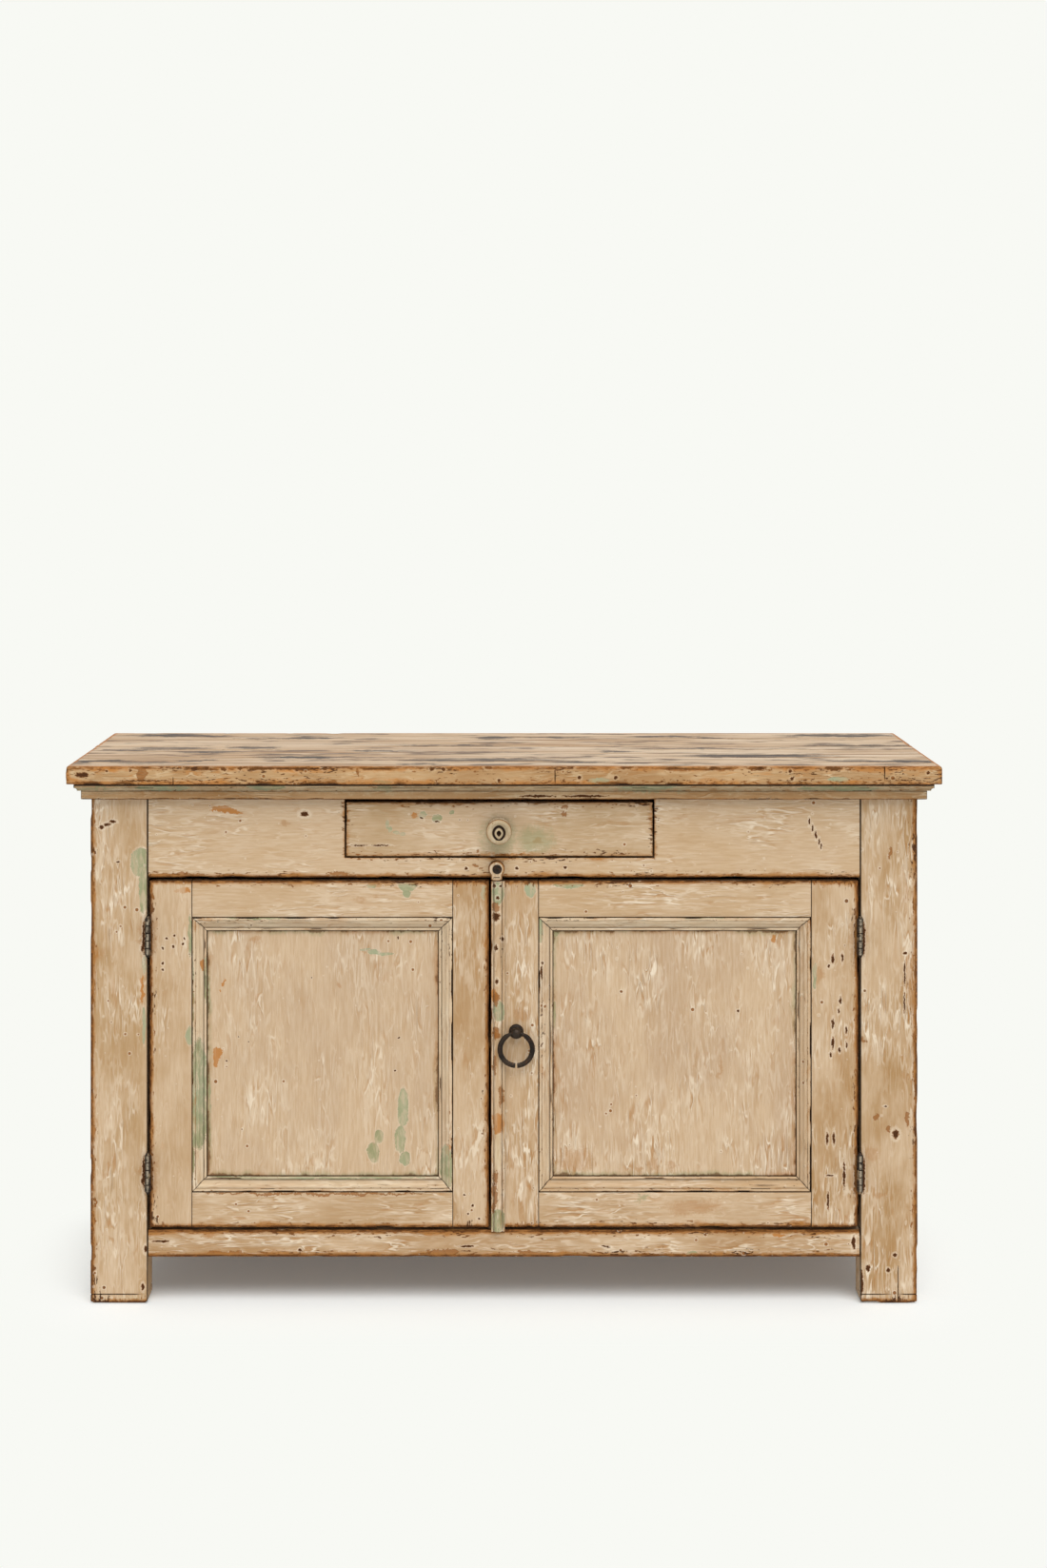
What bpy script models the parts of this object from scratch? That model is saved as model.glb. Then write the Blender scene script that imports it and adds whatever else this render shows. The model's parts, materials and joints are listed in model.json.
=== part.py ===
"""Painted pine sideboard with one drawer and two panelled doors.

Metres, +Z up, front towards -Y, origin on the floor under the middle of the top.
Every piece is a separate object. Touching pieces stand one FIT apart.
"""
import math

import bmesh
import bpy
from mathutils import Matrix, Vector

# Top
TOP_WIDTH = 1.462
TOP_DEPTH = 0.500
HEIGHT = 0.908
TOP_THICKNESS = 0.031
TOP_FRONT_BOARD = 0.290
TOP_OVERHANG_SIDE = 0.0355
TOP_OVERHANG_FRONT = 0.038
TOP_OVERHANG_BACK = 0.006
TOP_CORNER_RADIUS = 0.012
TOP_UPPER_ROUND = 0.008
TOP_LOWER_ROUND = 0.005

# Carcass frame
POST_WIDTH = 0.096
POST_DEPTH = 0.060
POST_EASE = 0.0025
FRAME_SETBACK = 0.001
FRAME_THICKNESS = 0.024
FLOOR_CLEARANCE = 0.078
BOTTOM_RAIL_HEIGHT = 0.046
BOTTOM_RAIL_DEPTH = 0.045
FRIEZE_HEIGHT = 0.161
TENON_LENGTH = 0.030
TENON_THICKNESS = 0.010
TENON_SHOULDER = 0.010
SIDE_PANEL_THICKNESS = 0.014
SIDE_PANEL_RECESS = 0.009
GROOVE_DEPTH = 0.008
BACK_THICKNESS = 0.012
BACK_REBATE = 0.015
BACK_BOARD_WIDTH = 0.175
BACK_VEE = 0.0025
BACK_RAIL_HEIGHT = 0.045
FLOOR_THICKNESS = 0.018
SHELF_HEIGHT = 0.420
SHELF_THICKNESS = 0.018
SHELF_FRONT_GAP = 0.020
SHELF_HOUSING = 0.008

# Cornice, as steps out from the posts
CORNICE_HEIGHT = 0.028
CORNICE_LOWER_HEIGHT = 0.0155
CORNICE_LOWER_OUT = 0.0135
CORNICE_UPPER_OUT = 0.024
CORNICE_COVE = 0.005

# Doors
DOOR_THICKNESS = 0.024
DOOR_GAP_TOP = 0.005
DOOR_GAP_BOTTOM = 0.004
DOOR_GAP_MEETING = 0.003
MEETING_OFFSET = -0.0235
HINGE_STILE_LEFT = 0.071
HINGE_STILE_RIGHT = 0.079
MEETING_STILE_LEFT = 0.061
MEETING_STILE_RIGHT = 0.080
DOOR_TOP_RAIL = 0.0615
DOOR_BOTTOM_RAIL = 0.059
DOOR_TENON_LENGTH = 0.034
DOOR_PANEL_THICKNESS = 0.009
DOOR_PANEL_RECESS = 0.0115
DOOR_GROOVE = 0.008
MOULDING_WIDTH = 0.024
MOULDING_HEIGHT = 0.0105
MOULDING_FILLET = 0.0065
MOULDING_STEP = 0.0016
MOULDING_BEAD = 0.0024
MOULDING_QUIRK = 0.0012
STRIP_WIDTH = 0.0235
STRIP_THICKNESS = 0.008
STRIP_BEAD = 0.0021
STRIP_LAP = 0.0055
STRIP_END_ROUND = 0.008

# Hinges
HINGE_HEIGHT = 0.062
HINGE_INSET = 0.093
HINGE_BARREL_RADIUS = 0.0054
HINGE_PIN_RADIUS = 0.0022
HINGE_LEAF_THICKNESS = 0.0012
HINGE_LEAF_WIDTH = 0.026
HINGE_KNUCKLES = 5
HINGE_PLAY = 0.0006
HINGE_FINIAL = 0.004

# Ring pull
RING_OFFSET = 0.044
RING_HEIGHT = 0.4575
RING_RADIUS = 0.027
RING_WIRE_RADIUS = 0.0032
RING_SPLIT = 0.003
RING_PLAY = 0.0018
ROSE_RADIUS = 0.0125
ROSE_HEIGHT = 0.005
EYE_BALL_RADIUS = 0.0095
ROSE_SHANK_RADIUS = 0.004
ROSE_SHANK_LENGTH = 0.016

# Drawer
DRAWER_WIDTH = 0.516
DRAWER_OFFSET = -0.0075
DRAWER_SILL = 0.0315
DRAWER_FRONT_HEIGHT = 0.0915
DRAWER_GAP_SIDE = 0.004
DRAWER_GAP_BOTTOM = 0.004
DRAWER_GAP_TOP = 0.0065
DRAWER_FRONT_THICKNESS = 0.022
DRAWER_BACK_CLEARANCE = 0.043
DRAWER_SIDE_THICKNESS = 0.012
DRAWER_SIDE_HEIGHT = 0.084
DRAWER_BOTTOM_THICKNESS = 0.007
DRAWER_BOTTOM_RISE = 0.010
DRAWER_GROOVE = 0.006
TAIL_COUNT = 3
TAIL_LENGTH = 0.014
TAIL_SLOPE = 0.16
TAIL_SHARE = 0.62
RUNNER_WIDTH = 0.040
RUNNER_HEIGHT = 0.024
RUNNER_GUIDE_WIDTH = 0.014
RUNNER_GUIDE_HEIGHT = 0.030
RUNNER_PLAY = 0.0015
RUNNER_TENON = 0.010

# Knob
KNOB_OFFSET = -0.001
KNOB_RISE = 0.0455
KNOB_HEAD_RADIUS = 0.0214
KNOB_BASE_RADIUS = 0.0205
KNOB_NECK_RADIUS = 0.0125
KNOB_LENGTH = 0.0345
KNOB_BOSS_RADIUS = 0.0095
KNOB_SHANK_RADIUS = 0.007
KNOB_SHANK_LENGTH = 0.016

# Turn button
BUTTON_OFFSET = -0.0125
BUTTON_HEAD_RADIUS = 0.0136
BUTTON_TONGUE_WIDTH = 0.0188
BUTTON_TIP_GAP = 0.0006
BUTTON_THICKNESS = 0.0105
BUTTON_PEG_RADIUS = 0.004
BUTTON_PEG_LENGTH = 0.014

# Workmanship
FIT = 0.0003
OVERCUT = 0.004
EASE = 0.0012
SMOOTH_BELOW = math.radians(35)

# Places that follow from the sizes
half_width = TOP_WIDTH / 2 - TOP_OVERHANG_SIDE
opening_half = half_width - POST_WIDTH
front_y = -TOP_DEPTH / 2 + TOP_OVERHANG_FRONT
back_y = TOP_DEPTH / 2 - TOP_OVERHANG_BACK
carcass_top = HEIGHT - TOP_THICKNESS
frame_top = carcass_top - FIT
face_y = front_y + FRAME_SETBACK
front_post_back = front_y + POST_DEPTH
rear_post_front = back_y - POST_DEPTH
opening_bottom = FLOOR_CLEARANCE + BOTTOM_RAIL_HEIGHT
frieze_bottom = carcass_top - FRIEZE_HEIGHT
side_outer = half_width - FRAME_SETBACK
side_inner = side_outer - FRAME_THICKNESS
side_panel_outer = half_width - SIDE_PANEL_RECESS
side_panel_inner = side_panel_outer - SIDE_PANEL_THICKNESS
back_panel_front = back_y - BACK_THICKNESS
back_rail_back = back_panel_front - FIT
back_rail_front = back_rail_back - FRAME_THICKNESS
door_bottom = opening_bottom + DOOR_GAP_BOTTOM
door_top = frieze_bottom - DOOR_GAP_TOP
door_back = face_y + DOOR_THICKNESS
hinge_gap = 2 * HINGE_LEAF_THICKNESS + HINGE_PLAY + 2 * FIT
hinge_x = opening_half - hinge_gap / 2
hinge_y = front_y - HINGE_BARREL_RADIUS - HINGE_PLAY
drawer_bottom = frieze_bottom + DRAWER_SILL + DRAWER_GAP_BOTTOM
drawer_back = back_panel_front - DRAWER_BACK_CLEARANCE
ring_x = MEETING_OFFSET + RING_OFFSET
ring_y = face_y - FIT - STRIP_THICKNESS - RING_WIRE_RADIUS - RING_PLAY
knob_x = DRAWER_OFFSET + KNOB_OFFSET
knob_z = drawer_bottom + KNOB_RISE
button_z = frieze_bottom + DRAWER_SILL / 2


def clear_scene():
    for old in list(bpy.data.objects):
        bpy.data.objects.remove(old, do_unlink=True)


def make_material(name, colour, roughness, metallic=0.0):
    finish = bpy.data.materials.new(name)
    finish.use_nodes = True
    shader = finish.node_tree.nodes["Principled BSDF"]
    shader.inputs["Base Color"].default_value = (*colour, 1.0)
    shader.inputs["Roughness"].default_value = roughness
    shader.inputs["Metallic"].default_value = metallic
    finish.diffuse_color = (*colour, 1.0)
    return finish


def make_pivot(name, place):
    pivot = bpy.data.objects.new(name, None)
    pivot.empty_display_size = 0.05
    pivot.location = place
    bpy.context.collection.objects.link(pivot)
    return pivot


def add_object(name, shape, finish, pivot=None, origin=None):
    """Turns a shape in world coordinates into a named object."""
    bmesh.ops.recalc_face_normals(shape, faces=shape.faces[:])
    if origin is None:
        low = Vector(min(v.co[i] for v in shape.verts) for i in range(3))
        high = Vector(max(v.co[i] for v in shape.verts) for i in range(3))
        origin = (low + high) / 2
    origin = Vector(origin)
    bmesh.ops.translate(shape, verts=shape.verts[:], vec=-origin)
    mesh = bpy.data.meshes.new(name)
    shape.to_mesh(mesh)
    shape.free()
    if finish:
        mesh.materials.append(finish)
    mesh.shade_smooth()
    mesh.set_sharp_from_angle(angle=SMOOTH_BELOW)
    obj = bpy.data.objects.new(name, mesh)
    bpy.context.collection.objects.link(obj)
    if pivot:
        obj.parent = pivot
        obj.location = origin - pivot.location
    else:
        obj.location = origin
    return obj


def box_shape(low, high, ease=0.0):
    low = Vector(low)
    high = Vector(high)
    shape = bmesh.new()
    size = high - low
    fit = Matrix.Translation((low + high) / 2) @ Matrix.Diagonal((*size, 1.0))
    bmesh.ops.create_cube(shape, size=1.0, matrix=fit)
    if ease:
        bmesh.ops.bevel(shape, geom=shape.edges[:], offset=ease, segments=1, affect="EDGES")
    return shape


def prism_shape(outline, axis, start, end):
    """Extrudes an outline along X, Y or Z. The outline gives the other two axes in order."""
    shape = bmesh.new()
    rings = []
    for level in (start, end):
        ring = []
        for first, second in outline:
            place = [first, second]
            place.insert("XYZ".index(axis), level)
            ring.append(shape.verts.new(place))
        rings.append(ring)
    count = len(outline)
    for i in range(count):
        j = (i + 1) % count
        shape.faces.new((rings[0][i], rings[0][j], rings[1][j], rings[1][i]))
    shape.faces.new(rings[0])
    shape.faces.new(rings[1])
    return shape


def lathe_shape(profile, centre, direction, steps):
    """Turns a profile of (radius, distance along direction) points about that direction."""
    shape = bmesh.new()
    direction = Vector(direction)
    across = direction.orthogonal().normalized()
    aside = direction.cross(across)
    centre = Vector(centre)
    rings = []
    for radius, distance in profile:
        middle = centre + direction * distance
        if radius == 0:
            rings.append([shape.verts.new(middle)])
            continue
        ring = []
        for k in range(steps):
            angle = 2 * math.pi * k / steps
            spoke = across * math.cos(angle) + aside * math.sin(angle)
            ring.append(shape.verts.new(middle + radius * spoke))
        rings.append(ring)
    for near, far in zip(rings, rings[1:]):
        for k in range(steps):
            j = (k + 1) % steps
            if len(near) == 1:
                shape.faces.new((near[0], far[j], far[k]))
            elif len(far) == 1:
                shape.faces.new((near[k], near[j], far[0]))
            else:
                shape.faces.new((near[k], near[j], far[j], far[k]))
    for ring in (rings[0], rings[-1]):
        if len(ring) > 1:
            shape.faces.new(ring)
    return shape


def stick_shape(profile, start, along, outward, upward, length, mitres):
    """A straight moulding. Each end is cut square (0) or leans by a share of outward travel."""
    shape = bmesh.new()
    start = Vector(start)
    along = Vector(along)
    outward = Vector(outward)
    upward = Vector(upward)
    rings = []
    for station, lean in ((0.0, mitres[0]), (length, mitres[1])):
        ring = []
        for out, up in profile:
            ring.append(shape.verts.new(start + along * (station + lean * out) + outward * out + upward * up))
        rings.append(ring)
    count = len(profile)
    for i in range(count):
        j = (i + 1) % count
        shape.faces.new((rings[0][i], rings[0][j], rings[1][j], rings[1][i]))
    shape.faces.new(rings[0])
    shape.faces.new(rings[1])
    return shape


def arc(centre_a, centre_b, radius_a, radius_b, first, last, steps):
    """Points on an ellipse's arc between two angles in degrees."""
    points = []
    for k in range(steps + 1):
        angle = math.radians(first + (last - first) * k / steps)
        points.append((centre_a + radius_a * math.cos(angle), centre_b + radius_b * math.sin(angle)))
    return points


def tool_object(name, shape):
    tool = add_object(name, shape, None)
    tool.hide_render = True
    tool.display_type = "WIRE"
    return tool


def carve(obj, shape, operation="DIFFERENCE"):
    """Cuts a shape from an object, or joins it on."""
    count = len(obj.modifiers) + 1
    tool = tool_object("tool_%s_%d" % (obj.name, count), shape)
    step = obj.modifiers.new("joinery_%d" % count, "BOOLEAN")
    step.operation = operation
    step.solver = "EXACT"
    step.object = tool
    return step


def cut_box(obj, low, high):
    carve(obj, box_shape(low, high))


def join_box(obj, low, high):
    carve(obj, box_shape(low, high), "UNION")


def span(first, second):
    return (min(first, second), max(first, second))


def tenon_box(axis, shoulder, side, across_middle, bottom, top, grow=0.0):
    """Corners of a tenon that runs along X or Y from a shoulder plane, or of its mortise."""
    tip = shoulder + side * (TENON_LENGTH + (2 * FIT if grow else 0.0))
    root = shoulder - side * OVERCUT
    run = span(root, tip)
    thick = (across_middle - TENON_THICKNESS / 2 - grow, across_middle + TENON_THICKNESS / 2 + grow)
    tall = (bottom + TENON_SHOULDER - grow, top - TENON_SHOULDER + grow)
    if axis == "X":
        return (run[0], thick[0], tall[0]), (run[1], thick[1], tall[1])
    return (thick[0], run[0], tall[0]), (thick[1], run[1], tall[1])


def make_top():
    """Two boards. Outer edges are rounded, the joint between them is not."""
    low_z = carcass_top
    joint = -TOP_DEPTH / 2 + TOP_FRONT_BOARD
    boards = (
        ("top_board_front", -TOP_DEPTH / 2, joint - FIT / 2, -TOP_DEPTH / 2),
        ("top_board_rear", joint + FIT / 2, TOP_DEPTH / 2, TOP_DEPTH / 2),
    )
    for name, y_low, y_high, outer in boards:
        shape = box_shape((-TOP_WIDTH / 2, y_low, low_z), (TOP_WIDTH / 2, y_high, HEIGHT))
        corners = [
            e for e in shape.edges
            if all(abs(v.co.y - outer) < 1e-6 for v in e.verts)
            and abs(e.verts[0].co.z - e.verts[1].co.z) > 1e-6
        ]
        bmesh.ops.bevel(
            shape, geom=corners, offset=TOP_CORNER_RADIUS, segments=4, profile=0.5, affect="EDGES"
        )
        joint_y = y_high if outer < 0 else y_low
        for level, radius, segments in ((HEIGHT, TOP_UPPER_ROUND, 4), (low_z, TOP_LOWER_ROUND, 3)):
            rim = [
                e for e in shape.edges
                if all(abs(v.co.z - level) < 1e-6 for v in e.verts)
                and not all(abs(v.co.y - joint_y) < 1e-6 for v in e.verts)
                and any(abs(f.normal.z) < 0.5 for f in e.link_faces)
            ]
            bmesh.ops.bevel(shape, geom=rim, offset=radius, segments=segments, profile=0.5, affect="EDGES")
        add_object(name, shape, bare_pine)


def cornice_profile():
    """Out from the posts, and up from the cornice's underside."""
    low = CORNICE_LOWER_HEIGHT
    top = CORNICE_HEIGHT - FIT
    cove = arc(CORNICE_UPPER_OUT, low, CORNICE_COVE, CORNICE_COVE, 180, 90, 4)
    points = [(FIT, 0.0), (CORNICE_LOWER_OUT - EASE, 0.0), (CORNICE_LOWER_OUT, EASE)]
    points += [(CORNICE_LOWER_OUT, low)]
    points += cove
    points += [(CORNICE_UPPER_OUT, top), (FIT, top)]
    return points


def make_cornice():
    bottom = carcass_top - CORNICE_HEIGHT
    profile = cornice_profile()
    front = stick_shape(
        profile, (-half_width, front_y, bottom), (1, 0, 0), (0, -1, 0), (0, 0, 1),
        2 * half_width, (-1.0, 1.0),
    )
    for v in front.verts:
        v.co.x -= math.copysign(FIT / 2, v.co.x)
    add_object("cornice_front", front, paint)
    for name, side in (("left", -1), ("right", 1)):
        start = (side * half_width, front_y + FIT, bottom)
        shape = stick_shape(
            profile, start, (0, 1, 0), (side, 0, 0), (0, 0, 1), back_y - front_y - FIT, (-1.0, 0.0)
        )
        add_object("cornice_" + name, shape, paint)


def make_posts():
    for row, y_low, y_high in (("front", front_y, front_post_back), ("rear", rear_post_front, back_y)):
        front = row == "front"
        inward = 1 if front else -1
        joint_face = y_high if front else y_low
        for name, side in (("left", -1), ("right", 1)):
            x_low, x_high = span(side * half_width, side * opening_half)
            shape = box_shape((x_low, y_low, 0.0), (x_high, y_high, frame_top), POST_EASE)
            post = add_object("post_%s_%s" % (row, name), shape, paint)
            inner_face = side * opening_half
            # Mortises for the rails that run along X
            if front:
                middle_y = face_y + FRAME_THICKNESS / 2
                rails = ((frieze_bottom, frame_top), (FLOOR_CLEARANCE, opening_bottom))
            else:
                middle_y = back_rail_front + FRAME_THICKNESS / 2
                upper = frieze_bottom
                rails = ((upper, upper + BACK_RAIL_HEIGHT), (FLOOR_CLEARANCE, opening_bottom))
            for bottom, top in rails:
                cut_box(post, *tenon_box("X", inner_face, side, middle_y, bottom, top, FIT))
            # Mortises for the side rails, and the groove for the side panel
            side_middle = side * (side_outer - FRAME_THICKNESS / 2)
            for bottom, top in ((frieze_bottom, frame_top), (FLOOR_CLEARANCE, opening_bottom)):
                cut_box(post, *tenon_box("Y", joint_face, -inward, side_middle, bottom, top, FIT))
            groove_x = span(side * (side_panel_outer + FIT), side * (side_panel_inner - FIT))
            groove_y = span(joint_face + inward * OVERCUT, joint_face - inward * GROOVE_DEPTH)
            cut_box(
                post,
                (groove_x[0], groove_y[0], opening_bottom - GROOVE_DEPTH),
                (groove_x[1], groove_y[1], frieze_bottom + GROOVE_DEPTH),
            )
            # Housing for the shelf
            house_x = span(inner_face - side * OVERCUT, inner_face + side * SHELF_HOUSING)
            shelf_front = door_back + SHELF_FRONT_GAP - FIT
            house_y = (shelf_front, front_post_back + OVERCUT)
            if not front:
                house_y = (rear_post_front - OVERCUT, back_panel_front)
            cut_box(
                post,
                (house_x[0], house_y[0], SHELF_HEIGHT - FIT),
                (house_x[1], house_y[1], SHELF_HEIGHT + SHELF_THICKNESS + FIT),
            )
            if not front:
                rebate_x = span(inner_face - side * OVERCUT, inner_face + side * BACK_REBATE)
                cut_box(
                    post,
                    (rebate_x[0], back_panel_front - FIT, FLOOR_CLEARANCE - FIT),
                    (rebate_x[1], back_y + OVERCUT, carcass_top + OVERCUT),
                )


def add_rail(name, low, high, middle, shoulders, axis, finish):
    """A rail with a tenon on each end."""
    rail = add_object(name, box_shape(low, high, EASE), finish)
    for side, shoulder in ((-1, shoulders[0]), (1, shoulders[1])):
        join_box(rail, *tenon_box(axis, shoulder, side, middle, low[2], high[2]))
    return rail


def make_front_and_back_rails():
    ends = (-opening_half + FIT, opening_half - FIT)
    back = face_y + FRAME_THICKNESS
    middle = face_y + FRAME_THICKNESS / 2
    frieze = add_rail(
        "frieze_board", (ends[0], face_y, frieze_bottom), (ends[1], back, frame_top), middle, ends, "X", paint
    )
    window_half = DRAWER_WIDTH / 2 + DRAWER_GAP_SIDE
    cut_box(
        frieze,
        (DRAWER_OFFSET - window_half, face_y - OVERCUT, frieze_bottom + DRAWER_SILL),
        (DRAWER_OFFSET + window_half, back + OVERCUT, drawer_bottom + DRAWER_FRONT_HEIGHT + DRAWER_GAP_TOP),
    )
    peg_hole = [(0.0, -OVERCUT), (BUTTON_PEG_RADIUS + FIT, -OVERCUT)]
    peg_hole += [(BUTTON_PEG_RADIUS + FIT, BUTTON_PEG_LENGTH + FIT), (0.0, BUTTON_PEG_LENGTH + FIT)]
    carve(frieze, lathe_shape(peg_hole, (BUTTON_OFFSET, face_y, button_z), (0, 1, 0), 16))
    for side in (-1, 1):
        cut_box(frieze, *runner_tenon(side, "front", FIT))
    add_rail(
        "bottom_rail_front",
        (ends[0], face_y, FLOOR_CLEARANCE),
        (ends[1], face_y + BOTTOM_RAIL_DEPTH, opening_bottom),
        middle, ends, "X", paint,
    )
    middle = back_rail_front + FRAME_THICKNESS / 2
    upper = add_rail(
        "back_rail_upper",
        (ends[0], back_rail_front, frieze_bottom),
        (ends[1], back_rail_back, frieze_bottom + BACK_RAIL_HEIGHT),
        middle, ends, "X", old_pine,
    )
    for side in (-1, 1):
        cut_box(upper, *runner_tenon(side, "rear", FIT))
    add_rail(
        "back_rail_lower",
        (ends[0], back_rail_front, FLOOR_CLEARANCE),
        (ends[1], back_rail_back, opening_bottom),
        middle, ends, "X", old_pine,
    )


def make_sides():
    ends = (front_post_back + FIT, rear_post_front - FIT)
    for name, side in (("left", -1), ("right", 1)):
        x_low, x_high = span(side * side_outer, side * side_inner)
        middle = side * (side_outer - FRAME_THICKNESS / 2)
        groove = span(side * (side_panel_outer + FIT), side * (side_panel_inner - FIT))
        upper_groove = (frieze_bottom - OVERCUT, frieze_bottom + GROOVE_DEPTH)
        lower_groove = (opening_bottom - GROOVE_DEPTH, opening_bottom + OVERCUT)
        levels = (
            ("top", frieze_bottom, frame_top, *upper_groove),
            ("bottom", FLOOR_CLEARANCE, opening_bottom, *lower_groove),
        )
        for level, bottom, top, groove_low, groove_high in levels:
            low = (x_low, ends[0], bottom)
            high = (x_high, ends[1], top)
            rail = add_rail("side_rail_%s_%s" % (level, name), low, high, middle, ends, "Y", paint)
            cut_box(
                rail,
                (groove[0], ends[0] - OVERCUT, groove_low),
                (groove[1], ends[1] + OVERCUT, groove_high),
            )
        panel_x = span(side * side_panel_outer, side * side_panel_inner)
        reach = GROOVE_DEPTH - FIT
        shape = box_shape(
            (panel_x[0], front_post_back - reach, opening_bottom - reach),
            (panel_x[1], rear_post_front + reach, frieze_bottom + reach),
            EASE,
        )
        add_object("side_panel_" + name, shape, paint)


def make_back():
    """Upright boards with a vee at every joint, in the rebates of the rear posts."""
    half = opening_half + BACK_REBATE - FIT
    count = max(2, round(2 * half / BACK_BOARD_WIDTH))
    joints = [-half + 2 * half * k / count for k in range(1, count)]
    inner = back_panel_front
    outline = [(-half, inner)]
    for x in joints:
        outline += [(x - BACK_VEE, inner), (x, inner + BACK_VEE), (x + BACK_VEE, inner)]
    outline += [(half, inner), (half, back_y)]
    for x in reversed(joints):
        outline += [(x + BACK_VEE, back_y), (x, back_y - BACK_VEE), (x - BACK_VEE, back_y)]
    outline += [(-half, back_y)]
    add_object("back_boards", prism_shape(outline, "Z", FLOOR_CLEARANCE, frame_top), old_pine)


def notched_outline(narrow, wide, front, back):
    """A board that is wide between the posts and narrow beside them."""
    near = front_post_back + FIT
    far = rear_post_front - FIT
    right = [(narrow, front), (narrow, near), (wide, near), (wide, far), (narrow, far), (narrow, back)]
    return right + [(-x, y) for x, y in reversed(right)]


def make_floor_and_shelf():
    wide = side_panel_inner - FIT
    back = back_rail_back
    floor = notched_outline(opening_half - FIT, wide, door_back + FIT, back)
    low = opening_bottom + FIT
    add_object("cupboard_floor", prism_shape(floor, "Z", low, low + FLOOR_THICKNESS), old_pine)
    shelf = notched_outline(opening_half + SHELF_HOUSING - FIT, wide, door_back + SHELF_FRONT_GAP, back)
    shape = prism_shape(shelf, "Z", SHELF_HEIGHT, SHELF_HEIGHT + SHELF_THICKNESS)
    add_object("shelf", shape, old_pine)


def runner_span(side):
    """Inner and outer x of a drawer runner."""
    drawer_side = DRAWER_OFFSET + side * DRAWER_WIDTH / 2
    outer = drawer_side + side * (RUNNER_PLAY + RUNNER_GUIDE_WIDTH)
    return outer - side * RUNNER_WIDTH, outer


def runner_tenon(side, end, grow=0.0):
    """Corners of a runner's stub tenon, or of its mortise, at the front or the rear."""
    x_low, x_high = span(*runner_span(side))
    top = frieze_bottom + DRAWER_SILL - TENON_SHOULDER / 2
    bottom = drawer_bottom - FIT - RUNNER_HEIGHT + TENON_SHOULDER / 2
    if end == "front":
        face = face_y + FRAME_THICKNESS
        reach = (face - RUNNER_TENON - 2 * grow, face + OVERCUT)
    else:
        face = back_rail_front
        reach = (face - OVERCUT, face + RUNNER_TENON + 2 * grow)
    inset = TENON_SHOULDER / 2
    return (x_low + inset - grow, reach[0], bottom - grow), (x_high - inset + grow, reach[1], top + grow)


def make_runners():
    """An L section: the drawer's side slides on the foot, along the guide."""
    top = drawer_bottom - FIT
    bottom = top - RUNNER_HEIGHT
    front = face_y + FRAME_THICKNESS + FIT
    rear = back_rail_front - FIT
    for name, side in (("left", -1), ("right", 1)):
        inner, outer = runner_span(side)
        guide = outer - side * RUNNER_GUIDE_WIDTH
        outline = [(inner, bottom), (outer, bottom), (outer, top + RUNNER_GUIDE_HEIGHT)]
        outline += [(guide, top + RUNNER_GUIDE_HEIGHT), (guide, top), (inner, top)]
        shape = bmesh.new()
        rings = [[shape.verts.new((x, y, z)) for x, z in outline] for y in (front, rear)]
        for i in range(len(outline)):
            j = (i + 1) % len(outline)
            shape.faces.new((rings[0][i], rings[0][j], rings[1][j], rings[1][i]))
        shape.faces.new(rings[0])
        shape.faces.new(rings[1])
        runner = add_object("drawer_runner_" + name, shape, old_pine)
        for end in ("front", "rear"):
            join_box(runner, *runner_tenon(side, end))


def moulding_profile():
    """Out from the frame's edge towards the middle of the panel, and up from the panel."""
    top = MOULDING_HEIGHT
    step = top - MOULDING_STEP
    bead = MOULDING_BEAD
    inner = MOULDING_WIDTH
    slope_start = MOULDING_FILLET
    slope_end = inner - 2 * bead - MOULDING_QUIRK
    points = [(FIT, FIT), (FIT, top - MOULDING_QUIRK), (FIT + MOULDING_QUIRK, top), (slope_start, top)]
    # An ogee: round at the top, hollow at the bottom
    middle = (slope_start + slope_end) / 2
    level = (step + bead) / 2
    points += arc(slope_start, level, middle - slope_start, step - level, 90, 0, 4)
    points += arc(slope_end, level, slope_end - middle, level - bead, 180, 270, 4)[1:]
    points += [(slope_end + MOULDING_QUIRK, bead)]
    points += arc(inner - bead, bead, bead, bead, 180, 0, 6)[1:]
    points += [(inner, FIT)]
    return points


def strip_profile():
    """Across the cover strip from its meeting edge, and out from the door."""
    bead = STRIP_BEAD
    width = STRIP_WIDTH
    shoulder = STRIP_THICKNESS / 2
    roll = width / 2 - 2 * bead - bead / 2
    points = [(0.0, FIT), (0.0, shoulder)]
    points += arc(bead, shoulder, bead, bead, 180, 0, 5)[1:]
    points += [(2 * bead, shoulder - bead / 2), (2 * bead + bead / 2, shoulder - bead / 2)]
    points += arc(width / 2, shoulder, roll, STRIP_THICKNESS - shoulder, 180, 0, 8)
    points += [(width - 2 * bead - bead / 2, shoulder - bead / 2), (width - 2 * bead, shoulder - bead / 2)]
    points += arc(width - bead, shoulder, bead, bead, 180, 0, 5)
    points += [(width, FIT)]
    return points


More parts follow.
